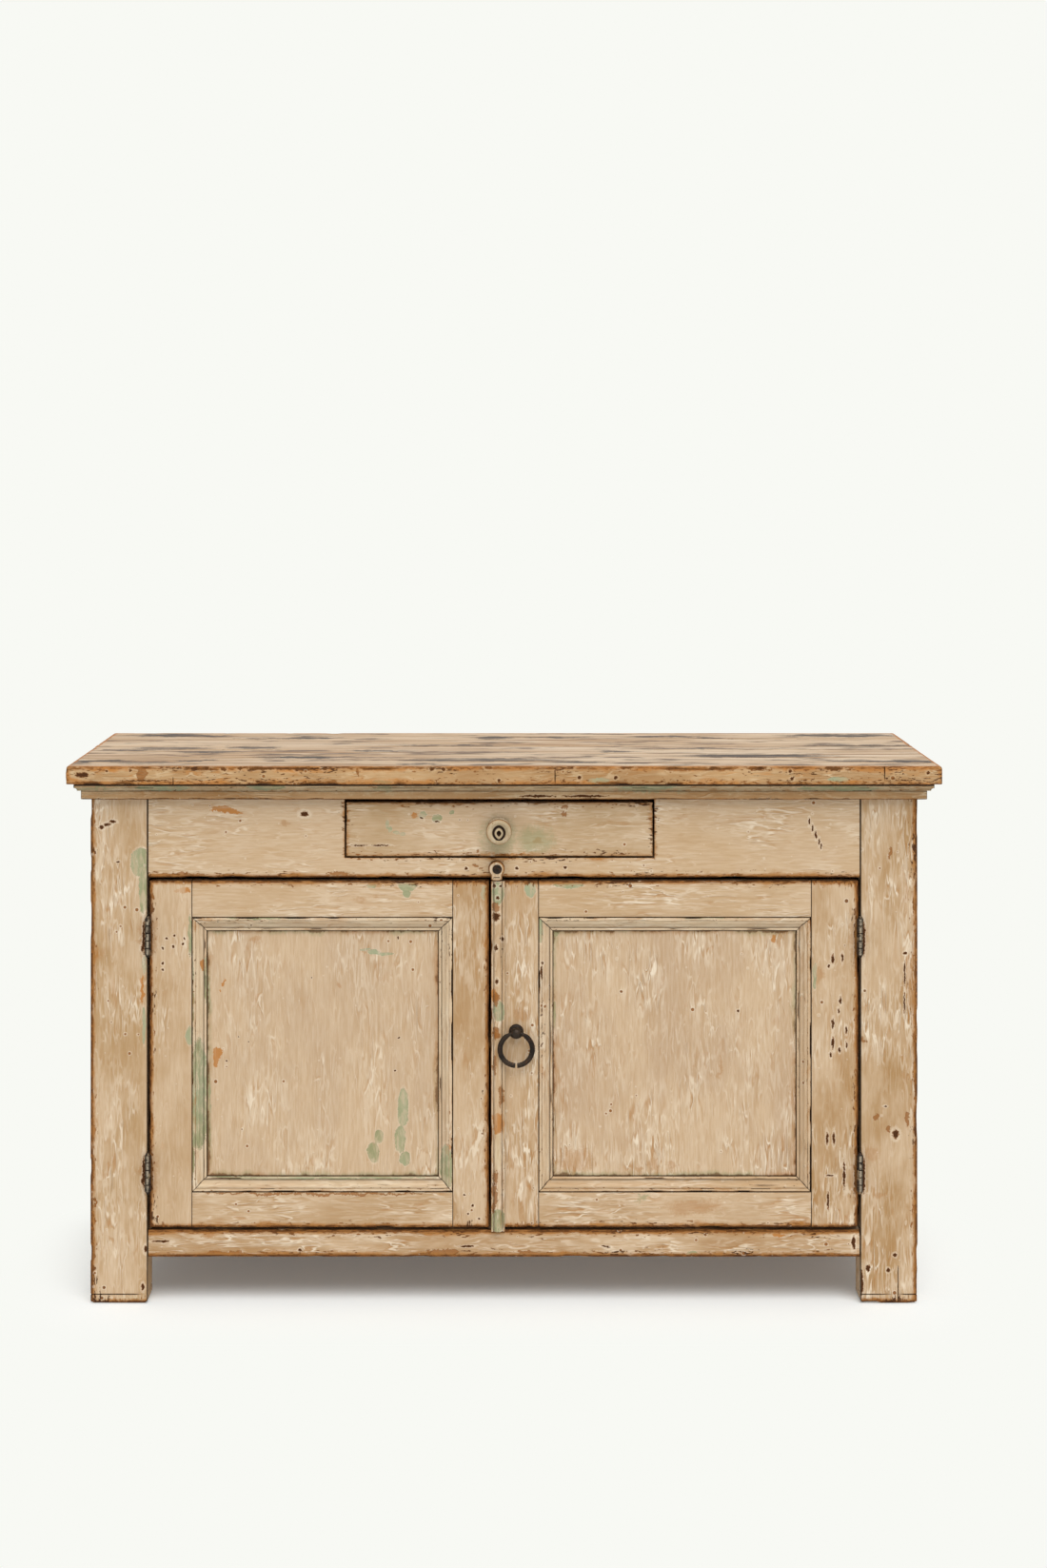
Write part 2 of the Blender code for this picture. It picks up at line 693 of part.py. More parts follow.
def make_door(name, side, pivot):
    """Frame, panel and mouldings. Side is -1 for the left door and 1 for the right."""
    hinge_edge = side * (opening_half - hinge_gap)
    meeting_edge = MEETING_OFFSET + side * DOOR_GAP_MEETING / 2
    meeting_stile = MEETING_STILE_LEFT if side < 0 else MEETING_STILE_RIGHT
    hinge_stile = HINGE_STILE_LEFT if side < 0 else HINGE_STILE_RIGHT
    inner_hinge = hinge_edge - side * hinge_stile
    inner_meeting = meeting_edge + side * meeting_stile
    rail_low = door_bottom + DOOR_BOTTOM_RAIL
    rail_high = door_top - DOOR_TOP_RAIL
    panel_front = face_y + DOOR_PANEL_RECESS
    groove_y = (panel_front - FIT, panel_front + DOOR_PANEL_THICKNESS + FIT)
    inner_x = span(inner_hinge, inner_meeting)
    rails = (("top", rail_high, door_top), ("bottom", door_bottom, rail_low))

    def tenon(edge, direction, bottom, top, grow):
        run = span(edge - direction * OVERCUT, edge + direction * (DOOR_TENON_LENGTH + 2 * grow))
        low = bottom + TENON_SHOULDER - grow
        high = top - TENON_SHOULDER + grow
        inset = FIT - grow
        return (run[0], groove_y[0] + inset, low), (run[1], groove_y[1] - inset, high)

    # Stiles, grooved for the panel and mortised for the rails
    for place, outer, inner in (("hinge", hinge_edge, inner_hinge), ("meeting", meeting_edge, inner_meeting)):
        x_low, x_high = span(outer, inner)
        shape = box_shape((x_low, face_y, door_bottom), (x_high, door_back, door_top), EASE)
        stile = add_object("%s_door_%s_stile" % (name, place), shape, paint, pivot)
        direction = 1 if outer > inner else -1
        groove_x = span(inner - direction * OVERCUT, inner + direction * DOOR_GROOVE)
        cut_box(
            stile,
            (groove_x[0], groove_y[0], rail_low - DOOR_GROOVE),
            (groove_x[1], groove_y[1], rail_high + DOOR_GROOVE),
        )
        for label, bottom, top in rails:
            cut_box(stile, *tenon(inner, direction, bottom, top, FIT))
        if side > 0 and place == "meeting":
            hole = [(0.0, -OVERCUT), (ROSE_SHANK_RADIUS + FIT, -OVERCUT)]
            hole += [(ROSE_SHANK_RADIUS + FIT, ROSE_SHANK_LENGTH + FIT), (0.0, ROSE_SHANK_LENGTH + FIT)]
            carve(stile, lathe_shape(hole, (ring_x, face_y, RING_HEIGHT), (0, 1, 0), 16))

    # Rails
    for label, bottom, top in rails:
        low = (inner_x[0] + FIT, face_y, bottom)
        high = (inner_x[1] - FIT, door_back, top)
        rail = add_object("%s_door_%s_rail" % (name, label), box_shape(low, high, EASE), paint, pivot)
        for direction, edge in ((-1, low[0]), (1, high[0])):
            join_box(rail, *tenon(edge, direction, bottom, top, 0.0))
        groove_z = (bottom - OVERCUT, bottom + DOOR_GROOVE)
        if label == "bottom":
            groove_z = (top - DOOR_GROOVE, top + OVERCUT)
        cut_box(
            rail,
            (inner_x[0] - OVERCUT, groove_y[0], groove_z[0]),
            (inner_x[1] + OVERCUT, groove_y[1], groove_z[1]),
        )

    # Panel
    reach = DOOR_GROOVE - FIT
    shape = box_shape(
        (inner_x[0] - reach, panel_front, rail_low - reach),
        (inner_x[1] + reach, panel_front + DOOR_PANEL_THICKNESS, rail_high + reach),
        EASE / 2,
    )
    add_object("%s_door_panel" % name, shape, paint, pivot)

    # Mouldings, mitred at the corners
    profile = moulding_profile()
    out = (0, -1, 0)
    near = FIT / 2
    sticks = (
        ("left", (inner_x[0], panel_front, rail_low + near), (0, 0, 1), (1, 0, 0), rail_high - rail_low),
        ("right", (inner_x[1], panel_front, rail_low + near), (0, 0, 1), (-1, 0, 0), rail_high - rail_low),
        ("bottom", (inner_x[0] + near, panel_front, rail_low), (1, 0, 0), (0, 0, 1), inner_x[1] - inner_x[0]),
        ("top", (inner_x[0] + near, panel_front, rail_high), (1, 0, 0), (0, 0, -1), inner_x[1] - inner_x[0]),
    )
    for label, start, along, inward, length in sticks:
        shape = stick_shape(profile, start, along, inward, out, length - 2 * near, (1.0, -1.0))
        add_object("%s_door_%s_moulding" % (name, label), shape, paint, pivot)
    return meeting_edge


def make_cover_strip(meeting_edge, pivot):
    """Reeded strip on the right door, flush with its meeting edge, rounded at the foot."""
    bottom = door_bottom - STRIP_LAP
    shape = bmesh.new()
    rings = []
    for z in (bottom, door_top):
        places = [(meeting_edge + across, face_y - out, z) for across, out in strip_profile()]
        rings.append([shape.verts.new(place) for place in places])
    count = len(rings[0])
    for i in range(count):
        j = (i + 1) % count
        shape.faces.new((rings[0][i], rings[0][j], rings[1][j], rings[1][i]))
    shape.faces.new(rings[0])
    shape.faces.new(rings[1])
    strip = add_object("cover_strip", shape, paint, pivot)
    radius = STRIP_END_ROUND
    left = meeting_edge - OVERCUT
    right = meeting_edge + STRIP_WIDTH + OVERCUT
    inner = (meeting_edge + radius, meeting_edge + STRIP_WIDTH - radius)
    outline = [(left, door_top + OVERCUT), (left, bottom + radius), (meeting_edge, bottom + radius)]
    outline += arc(inner[0], bottom + radius, radius, radius, 180, 270, 5)[1:]
    outline += arc(inner[1], bottom + radius, radius, radius, 270, 360, 5)
    outline += [(right, bottom + radius), (right, door_top + OVERCUT)]
    keep = prism_shape(outline, "Y", face_y - STRIP_THICKNESS - OVERCUT, face_y + OVERCUT)
    carve(strip, keep, "INTERSECT")


def make_hinge(name, side, middle_z, door_pivot):
    """Butt hinge. The post's leaf carries the pin and every other knuckle."""
    axis_x = side * hinge_x
    bottom = middle_z - HINGE_HEIGHT / 2
    pitch = HINGE_HEIGHT / HINGE_KNUCKLES
    radius = HINGE_BARREL_RADIUS
    leaf_start = hinge_y + radius + HINGE_PLAY
    leaf_end = hinge_y + radius + HINGE_LEAF_WIDTH
    middle_gap = HINGE_PLAY / 2
    leaves = (
        ("post", 0, side * middle_gap, side * (middle_gap + HINGE_LEAF_THICKNESS)),
        ("door", 1, -side * middle_gap, -side * (middle_gap + HINGE_LEAF_THICKNESS)),
    )
    for owner, parity, near, far in leaves:
        x_low, x_high = span(axis_x + near, axis_x + far)
        plate = box_shape((x_low, leaf_start, bottom), (x_high, leaf_end, bottom + HINGE_HEIGHT))
        pivot = door_pivot if owner == "door" else None
        leaf = add_object("%s_hinge_%s_leaf" % (name, owner), plate, iron, pivot)
        for k in range(HINGE_KNUCKLES):
            if k % 2 != parity:
                continue
            low = bottom + k * pitch + FIT / 2
            high = bottom + (k + 1) * pitch - FIT / 2
            chamfer = radius * 0.16
            profile = [(0.0, low), (radius - chamfer, low), (radius, low + chamfer)]
            profile += [(radius, high - chamfer), (radius - chamfer, high), (0.0, high)]
            if owner == "post" and k == 0:
                profile = [(0.0, low - HINGE_FINIAL), (radius * 0.45, low - HINGE_FINIAL)] + profile[1:]
            if owner == "post" and k == HINGE_KNUCKLES - 1:
                profile = profile[:-1] + [(radius * 0.45, high + HINGE_FINIAL), (0.0, high + HINGE_FINIAL)]
            carve(leaf, lathe_shape(profile, (axis_x, hinge_y, 0.0), (0, 0, 1), 16), "UNION")
            join_box(leaf, (x_low, hinge_y + radius * 0.5, low), (x_high, leaf_start + HINGE_PLAY, high))
        pin_radius = HINGE_PIN_RADIUS if owner == "post" else HINGE_PIN_RADIUS + FIT
        reach = -FIT if owner == "post" else OVERCUT
        rod = [(0.0, bottom - reach), (pin_radius, bottom - reach)]
        rod += [(pin_radius, bottom + HINGE_HEIGHT + reach), (0.0, bottom + HINGE_HEIGHT + reach)]
        pin = lathe_shape(rod, (axis_x, hinge_y, 0.0), (0, 0, 1), 12)
        carve(leaf, pin, "UNION" if owner == "post" else "DIFFERENCE")


def make_ring_pull(door_pivot, ring_pivot):
    """A rose with a ball eye on the right door, and a split ring through the eye."""
    stand = face_y - ring_y
    ball = EYE_BALL_RADIUS
    neck = ball * 0.72
    join = math.degrees(math.asin(neck / ball))
    profile = [(0.0, -ROSE_SHANK_LENGTH), (ROSE_SHANK_RADIUS, -ROSE_SHANK_LENGTH), (ROSE_SHANK_RADIUS, FIT)]
    profile += [(ROSE_RADIUS, FIT)]
    profile += arc(neck, FIT, ROSE_RADIUS - neck, ROSE_HEIGHT, 15, 90, 4)
    profile += [(radius, along) for along, radius in arc(stand, 0.0, ball, ball, 180 - join, 20, 8)]
    profile += [(0.0, stand + ball)]
    rose = add_object(
        "ring_rose", lathe_shape(profile, (ring_x, face_y, RING_HEIGHT), (0, -1, 0), 24), iron, door_pivot
    )
    sag = ball * ball / (2 * RING_RADIUS)
    eye = RING_WIRE_RADIUS + sag + FIT
    bore = [(0.0, -2 * ball), (eye, -2 * ball), (eye, 2 * ball), (0.0, 2 * ball)]
    carve(rose, lathe_shape(bore, (ring_x, ring_y, RING_HEIGHT), (1, 0, 0), 20))

    # The ring is a bar bent round until its ends nearly meet at the bottom
    shape = bmesh.new()
    half_split = math.asin(RING_SPLIT / 2 / RING_RADIUS)
    steps = 40
    sides = 10
    centre = Vector((ring_x, ring_y, RING_HEIGHT - RING_RADIUS))
    rings = []
    for k in range(steps + 1):
        turn = half_split + (2 * math.pi - 2 * half_split) * k / steps
        radial = Vector((math.sin(turn), 0.0, -math.cos(turn)))
        ring = []
        for n in range(sides):
            angle = 2 * math.pi * n / sides
            offset = radial * math.cos(angle) + Vector((0.0, 1.0, 0.0)) * math.sin(angle)
            ring.append(shape.verts.new(centre + radial * RING_RADIUS + offset * RING_WIRE_RADIUS))
        rings.append(ring)
    for near, far in zip(rings, rings[1:]):
        for n in range(sides):
            m = (n + 1) % sides
            shape.faces.new((near[n], near[m], far[m], far[n]))
    shape.faces.new(rings[0])
    shape.faces.new(rings[-1])
    add_object("pull_ring", shape, iron, ring_pivot, (ring_x, ring_y, RING_HEIGHT))


def tail_outline(index, grow=0.0):
    """One dovetail at the front end of a drawer side, as (y, z) points."""
    share = DRAWER_SIDE_HEIGHT / TAIL_COUNT
    middle = drawer_bottom + share * (index + 0.5)
    root = face_y + DRAWER_FRONT_THICKNESS
    tip = root - TAIL_LENGTH
    half_root = share * TAIL_SHARE / 2 - TAIL_LENGTH * TAIL_SLOPE + grow
    half_tip = share * TAIL_SHARE / 2 + grow
    return [
        (tip - grow, middle - half_tip),
        (tip - grow, middle + half_tip),
        (root + FIT, middle + half_root),
        (root + FIT, middle - half_root),
    ]


def make_drawer(pivot):
    half = DRAWER_WIDTH / 2
    front_back = face_y + DRAWER_FRONT_THICKNESS
    bottom_z = drawer_bottom + DRAWER_BOTTOM_RISE
    groove_z = (bottom_z - FIT, bottom_z + DRAWER_BOTTOM_THICKNESS + FIT)
    side_top = drawer_bottom + DRAWER_SIDE_HEIGHT
    inner_half = half - DRAWER_SIDE_THICKNESS
    shape = box_shape(
        (DRAWER_OFFSET - half, face_y, drawer_bottom),
        (DRAWER_OFFSET + half, front_back, drawer_bottom + DRAWER_FRONT_HEIGHT),
        EASE,
    )
    front = add_object("drawer_front", shape, paint, pivot)
    groove_half = inner_half + DRAWER_GROOVE
    cut_box(
        front,
        (DRAWER_OFFSET - groove_half, front_back - DRAWER_GROOVE, groove_z[0]),
        (DRAWER_OFFSET + groove_half, front_back + OVERCUT, groove_z[1]),
    )
    hole = [(0.0, -OVERCUT), (KNOB_SHANK_RADIUS + FIT, -OVERCUT)]
    hole += [(KNOB_SHANK_RADIUS + FIT, KNOB_SHANK_LENGTH + FIT), (0.0, KNOB_SHANK_LENGTH + FIT)]
    carve(front, lathe_shape(hole, (knob_x, face_y, knob_z), (0, 1, 0), 20))

    for name, side in (("left", -1), ("right", 1)):
        outer = DRAWER_OFFSET + side * half
        inner = DRAWER_OFFSET + side * inner_half
        x_low, x_high = span(outer, inner)
        # Upright outline of the side, with dovetails at its front end
        outline = [(drawer_back, drawer_bottom), (drawer_back, side_top), (front_back + FIT, side_top)]
        for index in reversed(range(TAIL_COUNT)):
            tail = tail_outline(index)
            outline += [tail[2], tail[1], tail[0], tail[3]]
        outline += [(front_back + FIT, drawer_bottom)]
        board = add_object("drawer_side_" + name, prism_shape(outline, "X", x_low, x_high), old_pine, pivot)
        groove_x = span(inner - side * OVERCUT, inner + side * DRAWER_GROOVE)
        cut_box(
            board,
            (groove_x[0], face_y, groove_z[0]),
            (groove_x[1], drawer_back + OVERCUT, groove_z[1]),
        )
        # Sockets in the front
        socket_x = span(outer + side * OVERCUT, inner - side * FIT)
        for index in range(TAIL_COUNT):
            socket = tail_outline(index, FIT)
            socket[2] = (socket[2][0] + OVERCUT, socket[2][1] - OVERCUT * TAIL_SLOPE)
            socket[3] = (socket[3][0] + OVERCUT, socket[3][1] + OVERCUT * TAIL_SLOPE)
            carve(front, prism_shape(socket, "X", socket_x[0], socket_x[1]))

    back_low = groove_z[1]
    shape = box_shape(
        (DRAWER_OFFSET - inner_half + FIT, drawer_back - DRAWER_SIDE_THICKNESS, back_low),
        (DRAWER_OFFSET + inner_half - FIT, drawer_back, side_top),
        EASE,
    )
    add_object("drawer_back", shape, old_pine, pivot)
    reach = inner_half + DRAWER_GROOVE - FIT
    shape = box_shape(
        (DRAWER_OFFSET - reach, front_back - DRAWER_GROOVE + FIT, bottom_z),
        (DRAWER_OFFSET + reach, drawer_back, bottom_z + DRAWER_BOTTOM_THICKNESS),
    )
    add_object("drawer_bottom", shape, old_pine, pivot)

    # Knob: a turned shank, base, neck and dished head with a boss in the middle
    head = KNOB_HEAD_RADIUS
    base = KNOB_BASE_RADIUS
    neck = KNOB_NECK_RADIUS
    length = KNOB_LENGTH
    rim = length * 0.17
    rim_middle = length - rim - FIT
    profile = [(0.0, -KNOB_SHANK_LENGTH), (KNOB_SHANK_RADIUS, -KNOB_SHANK_LENGTH), (KNOB_SHANK_RADIUS, FIT)]
    profile += [(base - EASE, FIT), (base, FIT + EASE), (base, FIT + 2 * EASE)]
    profile += [(base - EASE, FIT + 3 * EASE)]
    hollow = (rim_middle - rim - FIT - 3 * EASE) / 2
    hollow_middle = FIT + 3 * EASE + hollow
    profile += arc(base - 2 * EASE, hollow_middle, base - 2 * EASE - neck, hollow, 270, 90, 8)[1:]
    profile += arc(head - rim, rim_middle, rim, rim, -60, 90, 6)
    boss = KNOB_BOSS_RADIUS
    profile += [(boss + EASE, length - EASE), (boss, length - EASE)]
    profile += [(boss * 0.7, length - EASE / 2), (boss * 0.35, length), (0.0, length)]
    knob = lathe_shape(profile, (knob_x, face_y, knob_z), (0, -1, 0), 32)
    add_object("drawer_knob", knob, paint, pivot)


def make_turn_button(pivot):
    """A round head with a short tongue, on a peg in the frieze board."""
    reach = button_z - door_top - BUTTON_TIP_GAP
    half = BUTTON_TONGUE_WIDTH / 2
    head = BUTTON_HEAD_RADIUS
    meet = math.degrees(math.asin(min(0.98, half / head)))
    tip = math.degrees(math.asin(min(0.98, half / reach)))
    outline = arc(0.0, 0.0, head, head, -90 + meet, 270 - meet, 24)
    outline += arc(0.0, 0.0, reach, reach, 270 - tip, 270 + tip, 6)
    outline = [(BUTTON_OFFSET + x, button_z + z) for x, z in outline]
    front = face_y - FIT - BUTTON_THICKNESS
    shape = prism_shape(outline, "Y", front, face_y - FIT)
    bmesh.ops.recalc_face_normals(shape, faces=shape.faces[:])
    rim = [e for e in shape.edges if all(abs(v.co.y - front) < 1e-6 for v in e.verts)]
    bmesh.ops.bevel(shape, geom=rim, offset=2 * EASE, segments=2, profile=0.5, affect="EDGES")
    button = add_object("turn_button", shape, paint, pivot, (BUTTON_OFFSET, face_y, button_z))
    peg = [(0.0, -BUTTON_THICKNESS / 2), (BUTTON_PEG_RADIUS, -BUTTON_THICKNESS / 2)]
    peg += [(BUTTON_PEG_RADIUS, BUTTON_PEG_LENGTH), (0.0, BUTTON_PEG_LENGTH)]
    carve(button, lathe_shape(peg, (BUTTON_OFFSET, face_y, button_z), (0, 1, 0), 16), "UNION")


clear_scene()
paint = make_material("cream paint", (0.62, 0.50, 0.36), 0.62)
bare_pine = make_material("weathered bare pine", (0.50, 0.38, 0.27), 0.66)
old_pine = make_material("old inside pine", (0.42, 0.28, 0.15), 0.72)
iron = make_material("blackened iron", (0.045, 0.04, 0.036), 0.5, 0.85)

make_top()
make_cornice()
make_posts()
make_front_and_back_rails()
make_sides()
make_back()
make_floor_and_shelf()
make_runners()

left_pivot = make_pivot("left_door_pivot", (-hinge_x, hinge_y, 0.0))
right_pivot = make_pivot("right_door_pivot", (hinge_x, hinge_y, 0.0))
ring_pivot = make_pivot("ring_pivot", (ring_x, ring_y, RING_HEIGHT))
drawer_pivot = make_pivot("drawer_pivot", (DRAWER_OFFSET, face_y, drawer_bottom))
button_pivot = make_pivot("button_pivot", (BUTTON_OFFSET, face_y, button_z))

make_door("left", -1, left_pivot)
right_edge = make_door("right", 1, right_pivot)
make_cover_strip(right_edge, right_pivot)
for door_name, door_side, door_pivot in (("left", -1, left_pivot), ("right", 1, right_pivot)):
    make_hinge(door_name + "_upper", door_side, door_top - HINGE_INSET, door_pivot)
    make_hinge(door_name + "_lower", door_side, door_bottom + HINGE_INSET, door_pivot)
make_ring_pull(right_pivot, ring_pivot)
make_drawer(drawer_pivot)
make_turn_button(button_pivot)
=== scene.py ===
"""Looks of the painted pine sideboard: worn boards round the CAD frame, paint, iron, light and camera.

Metres, +Z up, front towards -Y. Every piece stays in the place of its CAD node, and moves with its body.
"""
import functools
import itertools
import json
import math

import bmesh
import bpy
import numpy as np
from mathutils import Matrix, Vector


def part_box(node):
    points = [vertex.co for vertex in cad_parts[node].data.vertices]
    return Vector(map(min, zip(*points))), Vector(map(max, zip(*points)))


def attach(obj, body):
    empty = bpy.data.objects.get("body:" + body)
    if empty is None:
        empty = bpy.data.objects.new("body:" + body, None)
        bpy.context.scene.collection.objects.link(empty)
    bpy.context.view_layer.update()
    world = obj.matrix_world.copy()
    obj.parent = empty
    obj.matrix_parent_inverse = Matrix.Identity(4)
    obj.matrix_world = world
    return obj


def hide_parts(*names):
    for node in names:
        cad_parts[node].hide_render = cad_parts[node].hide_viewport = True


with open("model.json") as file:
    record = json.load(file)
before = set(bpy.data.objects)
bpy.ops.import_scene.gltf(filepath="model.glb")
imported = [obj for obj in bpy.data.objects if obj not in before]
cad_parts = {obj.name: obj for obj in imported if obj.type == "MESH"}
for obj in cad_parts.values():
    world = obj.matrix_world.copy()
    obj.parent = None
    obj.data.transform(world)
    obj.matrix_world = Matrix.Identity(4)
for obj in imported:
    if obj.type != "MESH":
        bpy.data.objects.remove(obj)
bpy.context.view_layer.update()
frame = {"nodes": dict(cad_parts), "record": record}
body_of = {
    node: body for body, members in frame["record"]["behaviour"]["bodies"].items() for node in members
}

# Camera, from the photograph's perspective
PHOTO_WIDTH = 1100
PHOTO_HEIGHT = 1647
FOCAL_PIXELS = 2522.0
HORIZON_ROW = 489.0
MIDDLE_COLUMN = 529.5
EYE_DISTANCE = 4.247
EYE_HEIGHT = 1.4087
FRONT_PLANE = -0.211
CORNICE_PLANE = -0.234
SLAB_PLANE = -0.250

# Sizes that the worn pieces share with the CAD part
FIT = 0.0003
TENON_LENGTH = 0.030
DOOR_TENON_LENGTH = 0.034
EASE = 0.0012
CORNICE_HEIGHT = 0.028
CORNICE_LOWER_HEIGHT = 0.0155
CORNICE_LOWER_OUT = 0.0135
CORNICE_UPPER_OUT = 0.024
CORNICE_COVE = 0.005
MOULDING_WIDTH = 0.024
MOULDING_HEIGHT = 0.0105
MOULDING_FILLET = 0.0065
MOULDING_STEP = 0.0016
MOULDING_BEAD = 0.0024
MOULDING_QUIRK = 0.0012
STRIP_THICKNESS = 0.008
STRIP_BEAD = 0.0021
BACK_BOARD_COUNT = 7

# Gaps round the drawer in the worn frieze, which are narrower than the CAD's
DRAWER_GAP = 0.0026
DRAWER_GAP_ABOVE = 0.0045

# Screw, nails, knob, button and ring
HUB = 0.0004
SCREW_RADIUS = 0.0078
SCREW_PROFILE = ((1.0, 0.0), (1.0, 0.0011), (0.88, 0.0018), (0.74, 0.0016), (0.52, 0.0007), (0.2, 0.0011))
SCREW_MIDDLE = 0.0012
SCREW_OFF_CENTRE = 0.001
NAIL_RADIUS = 0.0032
NAIL_PROFILE = ((1.0, -0.0004), (1.0, 0.00024), (0.7, 0.00064), (0.2, 0.0008))
NAIL_SIDES = 10
NAIL_SHARES = (0.22, 0.78)
NAIL_WOBBLE = 0.004
KNOB_BASE = 0.96
KNOB_NECK = 0.58
KNOB_RIM = 0.17
KNOB_LUMPS = 0.0005
KNOB_CHIPS = 0.0012
KNOB_RIM_WEAR = (0.9, 0.95, 1.0, 1.0, 0.95, 0.7, 0.3, 0.1, 0.0)
# Radius, depth below the rim, and grime, from the rim in. In the groove and the hole the grime is also
# painted shade
KNOB_FACE = (
    (0.0140, 0.0012, 0.1), (0.0122, 0.0018, 0.40), (0.0118, 0.0040, 0.95), (0.0086, 0.0040, 0.95),
    (0.0082, 0.0014, 0.55), (0.0066, 0.0006, 0.1), (0.0046, 0.0004, 0.2), (0.0038, 0.0012, 1.0),
    (HUB, 0.0060, 1.0),
)
BOSS_RADIUS = 0.0138
BOSS_BLEND = 0.0024
BOSS_NARROWED = 0.11
BOSS_LOWERED = 0.0016
BOSS_TAPER_ABOVE = 0.10
BOSS_TAPER_BELOW = 0.24
BUTTON_TONGUE = 0.69
# Inset, share of the thickness, and wear
BUTTON_RINGS = (
    (0.0, 0.55, 0.9), (0.0006, 0.80, 0.95), (0.0018, 0.94, 0.85), (0.0036, 1.0, 0.25), (0.0062, 1.0, 0.1),
)
RING_FLATNESS = 1.4
RING_GAP = 0.0015
RING_EYE = (0.09, 0.25)
RING_STATIONS = 64
RING_SIDES = 14

# Rounding of the top boards: low and high side of each axis
TOP_ROUNDING = {
    "front": ((0.005, 0.005), (0.006, 0.0012), (0.0014, 0.006)),
    "rear": ((0.005, 0.005), (0.0012, 0.003), (0.003, 0.003)),
}
TOP_LOOKS_UP = 0.96
# Cracks along the top: y and depth. Splits in its front edge: x, depth, lowest and highest point
TOP_CRACKS = {"front": ((-0.017, 0.0016), (-0.130, 0.0010)), "rear": ((0.153, 0.0016),)}
TOP_SPLITS = {
    "front": ((-0.551, 0.0025, 0.876, 0.889), (0.085, 0.0025, 0.884, 0.899), (0.634, 0.0030, 0.887, 0.909)),
    "rear": (),
}
CRACK_HALF = 0.0020
SPLIT_HALF = 0.0012
# Place, half width and depth
FOOT_CRACK = (0.0155, 0.0017, 0.0022)
FOOT_SPLIT = (0.6625, 0.0010, 0.0025)
FOOT_SPLIT_TOP = 0.062

# Which way the grain runs in the pieces that keep their CAD shape
INSIDE_GRAIN = {
    "back_boards": "upright", "back_rail_upper": "across", "back_rail_lower": "across",
    "cupboard_floor": "across", "shelf": "across", "drawer_back": "across", "drawer_bottom": "across",
    "drawer_runner_left": "deep", "drawer_runner_right": "deep", "drawer_side_left": "deep",
    "drawer_side_right": "deep",
}

# Directions, ends and limits
UP = (0, 0, 1)
NOWHERE = (0.0, 0.0, 0.0)
BOTH_ENDS = ((0, 0), (0, 1))
SHARP_ANGLE = 42
TINY = 1e-6
LEAST_LENGTH = 1e-9
MARK_CLEARANCE = 0.3
MARK_STEP = 0.004

# Patches show where the surface looks forward this far, and are put off by a distance elsewhere
LOOKS_FORWARD = (0.15, 0.35)
FAR_OFF = 9.0
# Painted shade in the gaps fades out between these distances from the middle, short of the outer sides
INSIDE_POSTS = (0.690, 0.682)
BUMP = 0.0012

# Light and floor
AMBIENT = 0.49
AMBIENT_COLOUR = (1.0, 0.99, 0.97, 1.0)
KEY_STRENGTH = 1.88
KEY_COLOUR = (1.0, 0.985, 0.96)
KEY_SPREAD = 42
KEY_HEIGHT = 57
KEY_TURN = 14
FLOOR_COLOUR = (0.90, 0.93, 0.95, 1.0)
FLOOR_LIFT = 0.10
FLOOR_HALF = 30.0
FADE_INSIDE = (0.60, 0.14, 1.0)
FADE_WIDTH = 0.27

# Wear
SKIN = 0.0001
WAVE_DEPTH = 0.0004
WAVE_SIZE = 0.11
CHIP_SIZE = 0.011
CHIP_REACH = 0.010
CHIP_STRETCH = 2.6
CHIP_DEPTH = 0.0022
CHIPPED = (0.60, 0.80)
CHIPPED_AREAS = (0.35, 0.6)
STICK_CHIPPED = (0.58, 0.82)
STICK_WAVE_DEPTH = 0.0003
STICK_WAVE_SIZE = 0.06
EDGE_TURN = 55
CREASE_TURN = 45
JOINT_GRIME = 0.9
JOINT_GRIME_SHARE = 0.6
OUTER_GRIME = 0.75
# Band at the top of the cornice, under the slab, with joint grime and painted shadow
CORNICE_GRIME_AND_SHADOW = 0.0046
FOOT_SPREAD = 0.55
WEAR_REACH = 0.016
CUT_UNWORN = 0.005
RIM_HEIGHT = 0.0013
STICK_MESH = 0.0016
STICK_WEAR_REACH = 0.006
# How far grime and painted shade reach from a crease in a moulding
STICK_GRIME_AND_SHADE_REACH = 0.0035
MITRE_LINE = 0.0012
POST_JOINT_RADIUS = 0.0016
ROUND_STEPS = np.array([0.0, 0.586, 1.0])


def colour(red, green, blue):
    """Linear colour from a screen's 0 to 255 numbers."""
    channels = []
    for value in (red, green, blue):
        share = value / 255
        channels.append(share / 12.92 if share <= 0.04045 else ((share + 0.055) / 1.055) ** 2.4)
    return (*channels, 1.0)


# Colours of the paint, the bare top, the pine inside, and the iron
CREAM = colour(213, 186, 153)
TAN = colour(201, 170, 132)
LIGHT = colour(245, 229, 205)
DEEP = colour(178, 138, 92)
GREEN = colour(169, 172, 138)
OLIVE = colour(158, 156, 116)
PALE = colour(220, 203, 166)
ORANGE = colour(189, 125, 60)
BROWNED = colour(176, 122, 66)
EDGE_BROWN = colour(98, 58, 25)
WOOD = colour(152, 97, 46)
DARK_WOOD = colour(80, 46, 20)
DIRT_AND_SHADE = colour(50, 33, 19)
BRIGHT = colour(224, 202, 170)
CORNICE_COLOURS = (colour(176, 140, 98), colour(208, 178, 138), colour(228, 206, 170))
SLAB_COLOURS = (colour(174, 134, 90), colour(202, 165, 120), colour(220, 193, 154))
SLAB_BROWNED = colour(194, 126, 57)
KNOB_COLOURS = (colour(178, 160, 128), colour(203, 184, 152))
TOP_TAN = colour(190, 158, 124)
TOP_PALE = colour(217, 192, 163)
TOP_GRAIN = colour(142, 102, 67)
TOP_BLEACHED = colour(227, 209, 187)
TOP_GREYED = colour(98, 77, 62)
TOP_DASH = colour(98, 72, 54)
TOP_STAIN = colour(66, 55, 49)
TOP_RUBBED = colour(178, 112, 52)
PINE_TAN = colour(150, 108, 66)
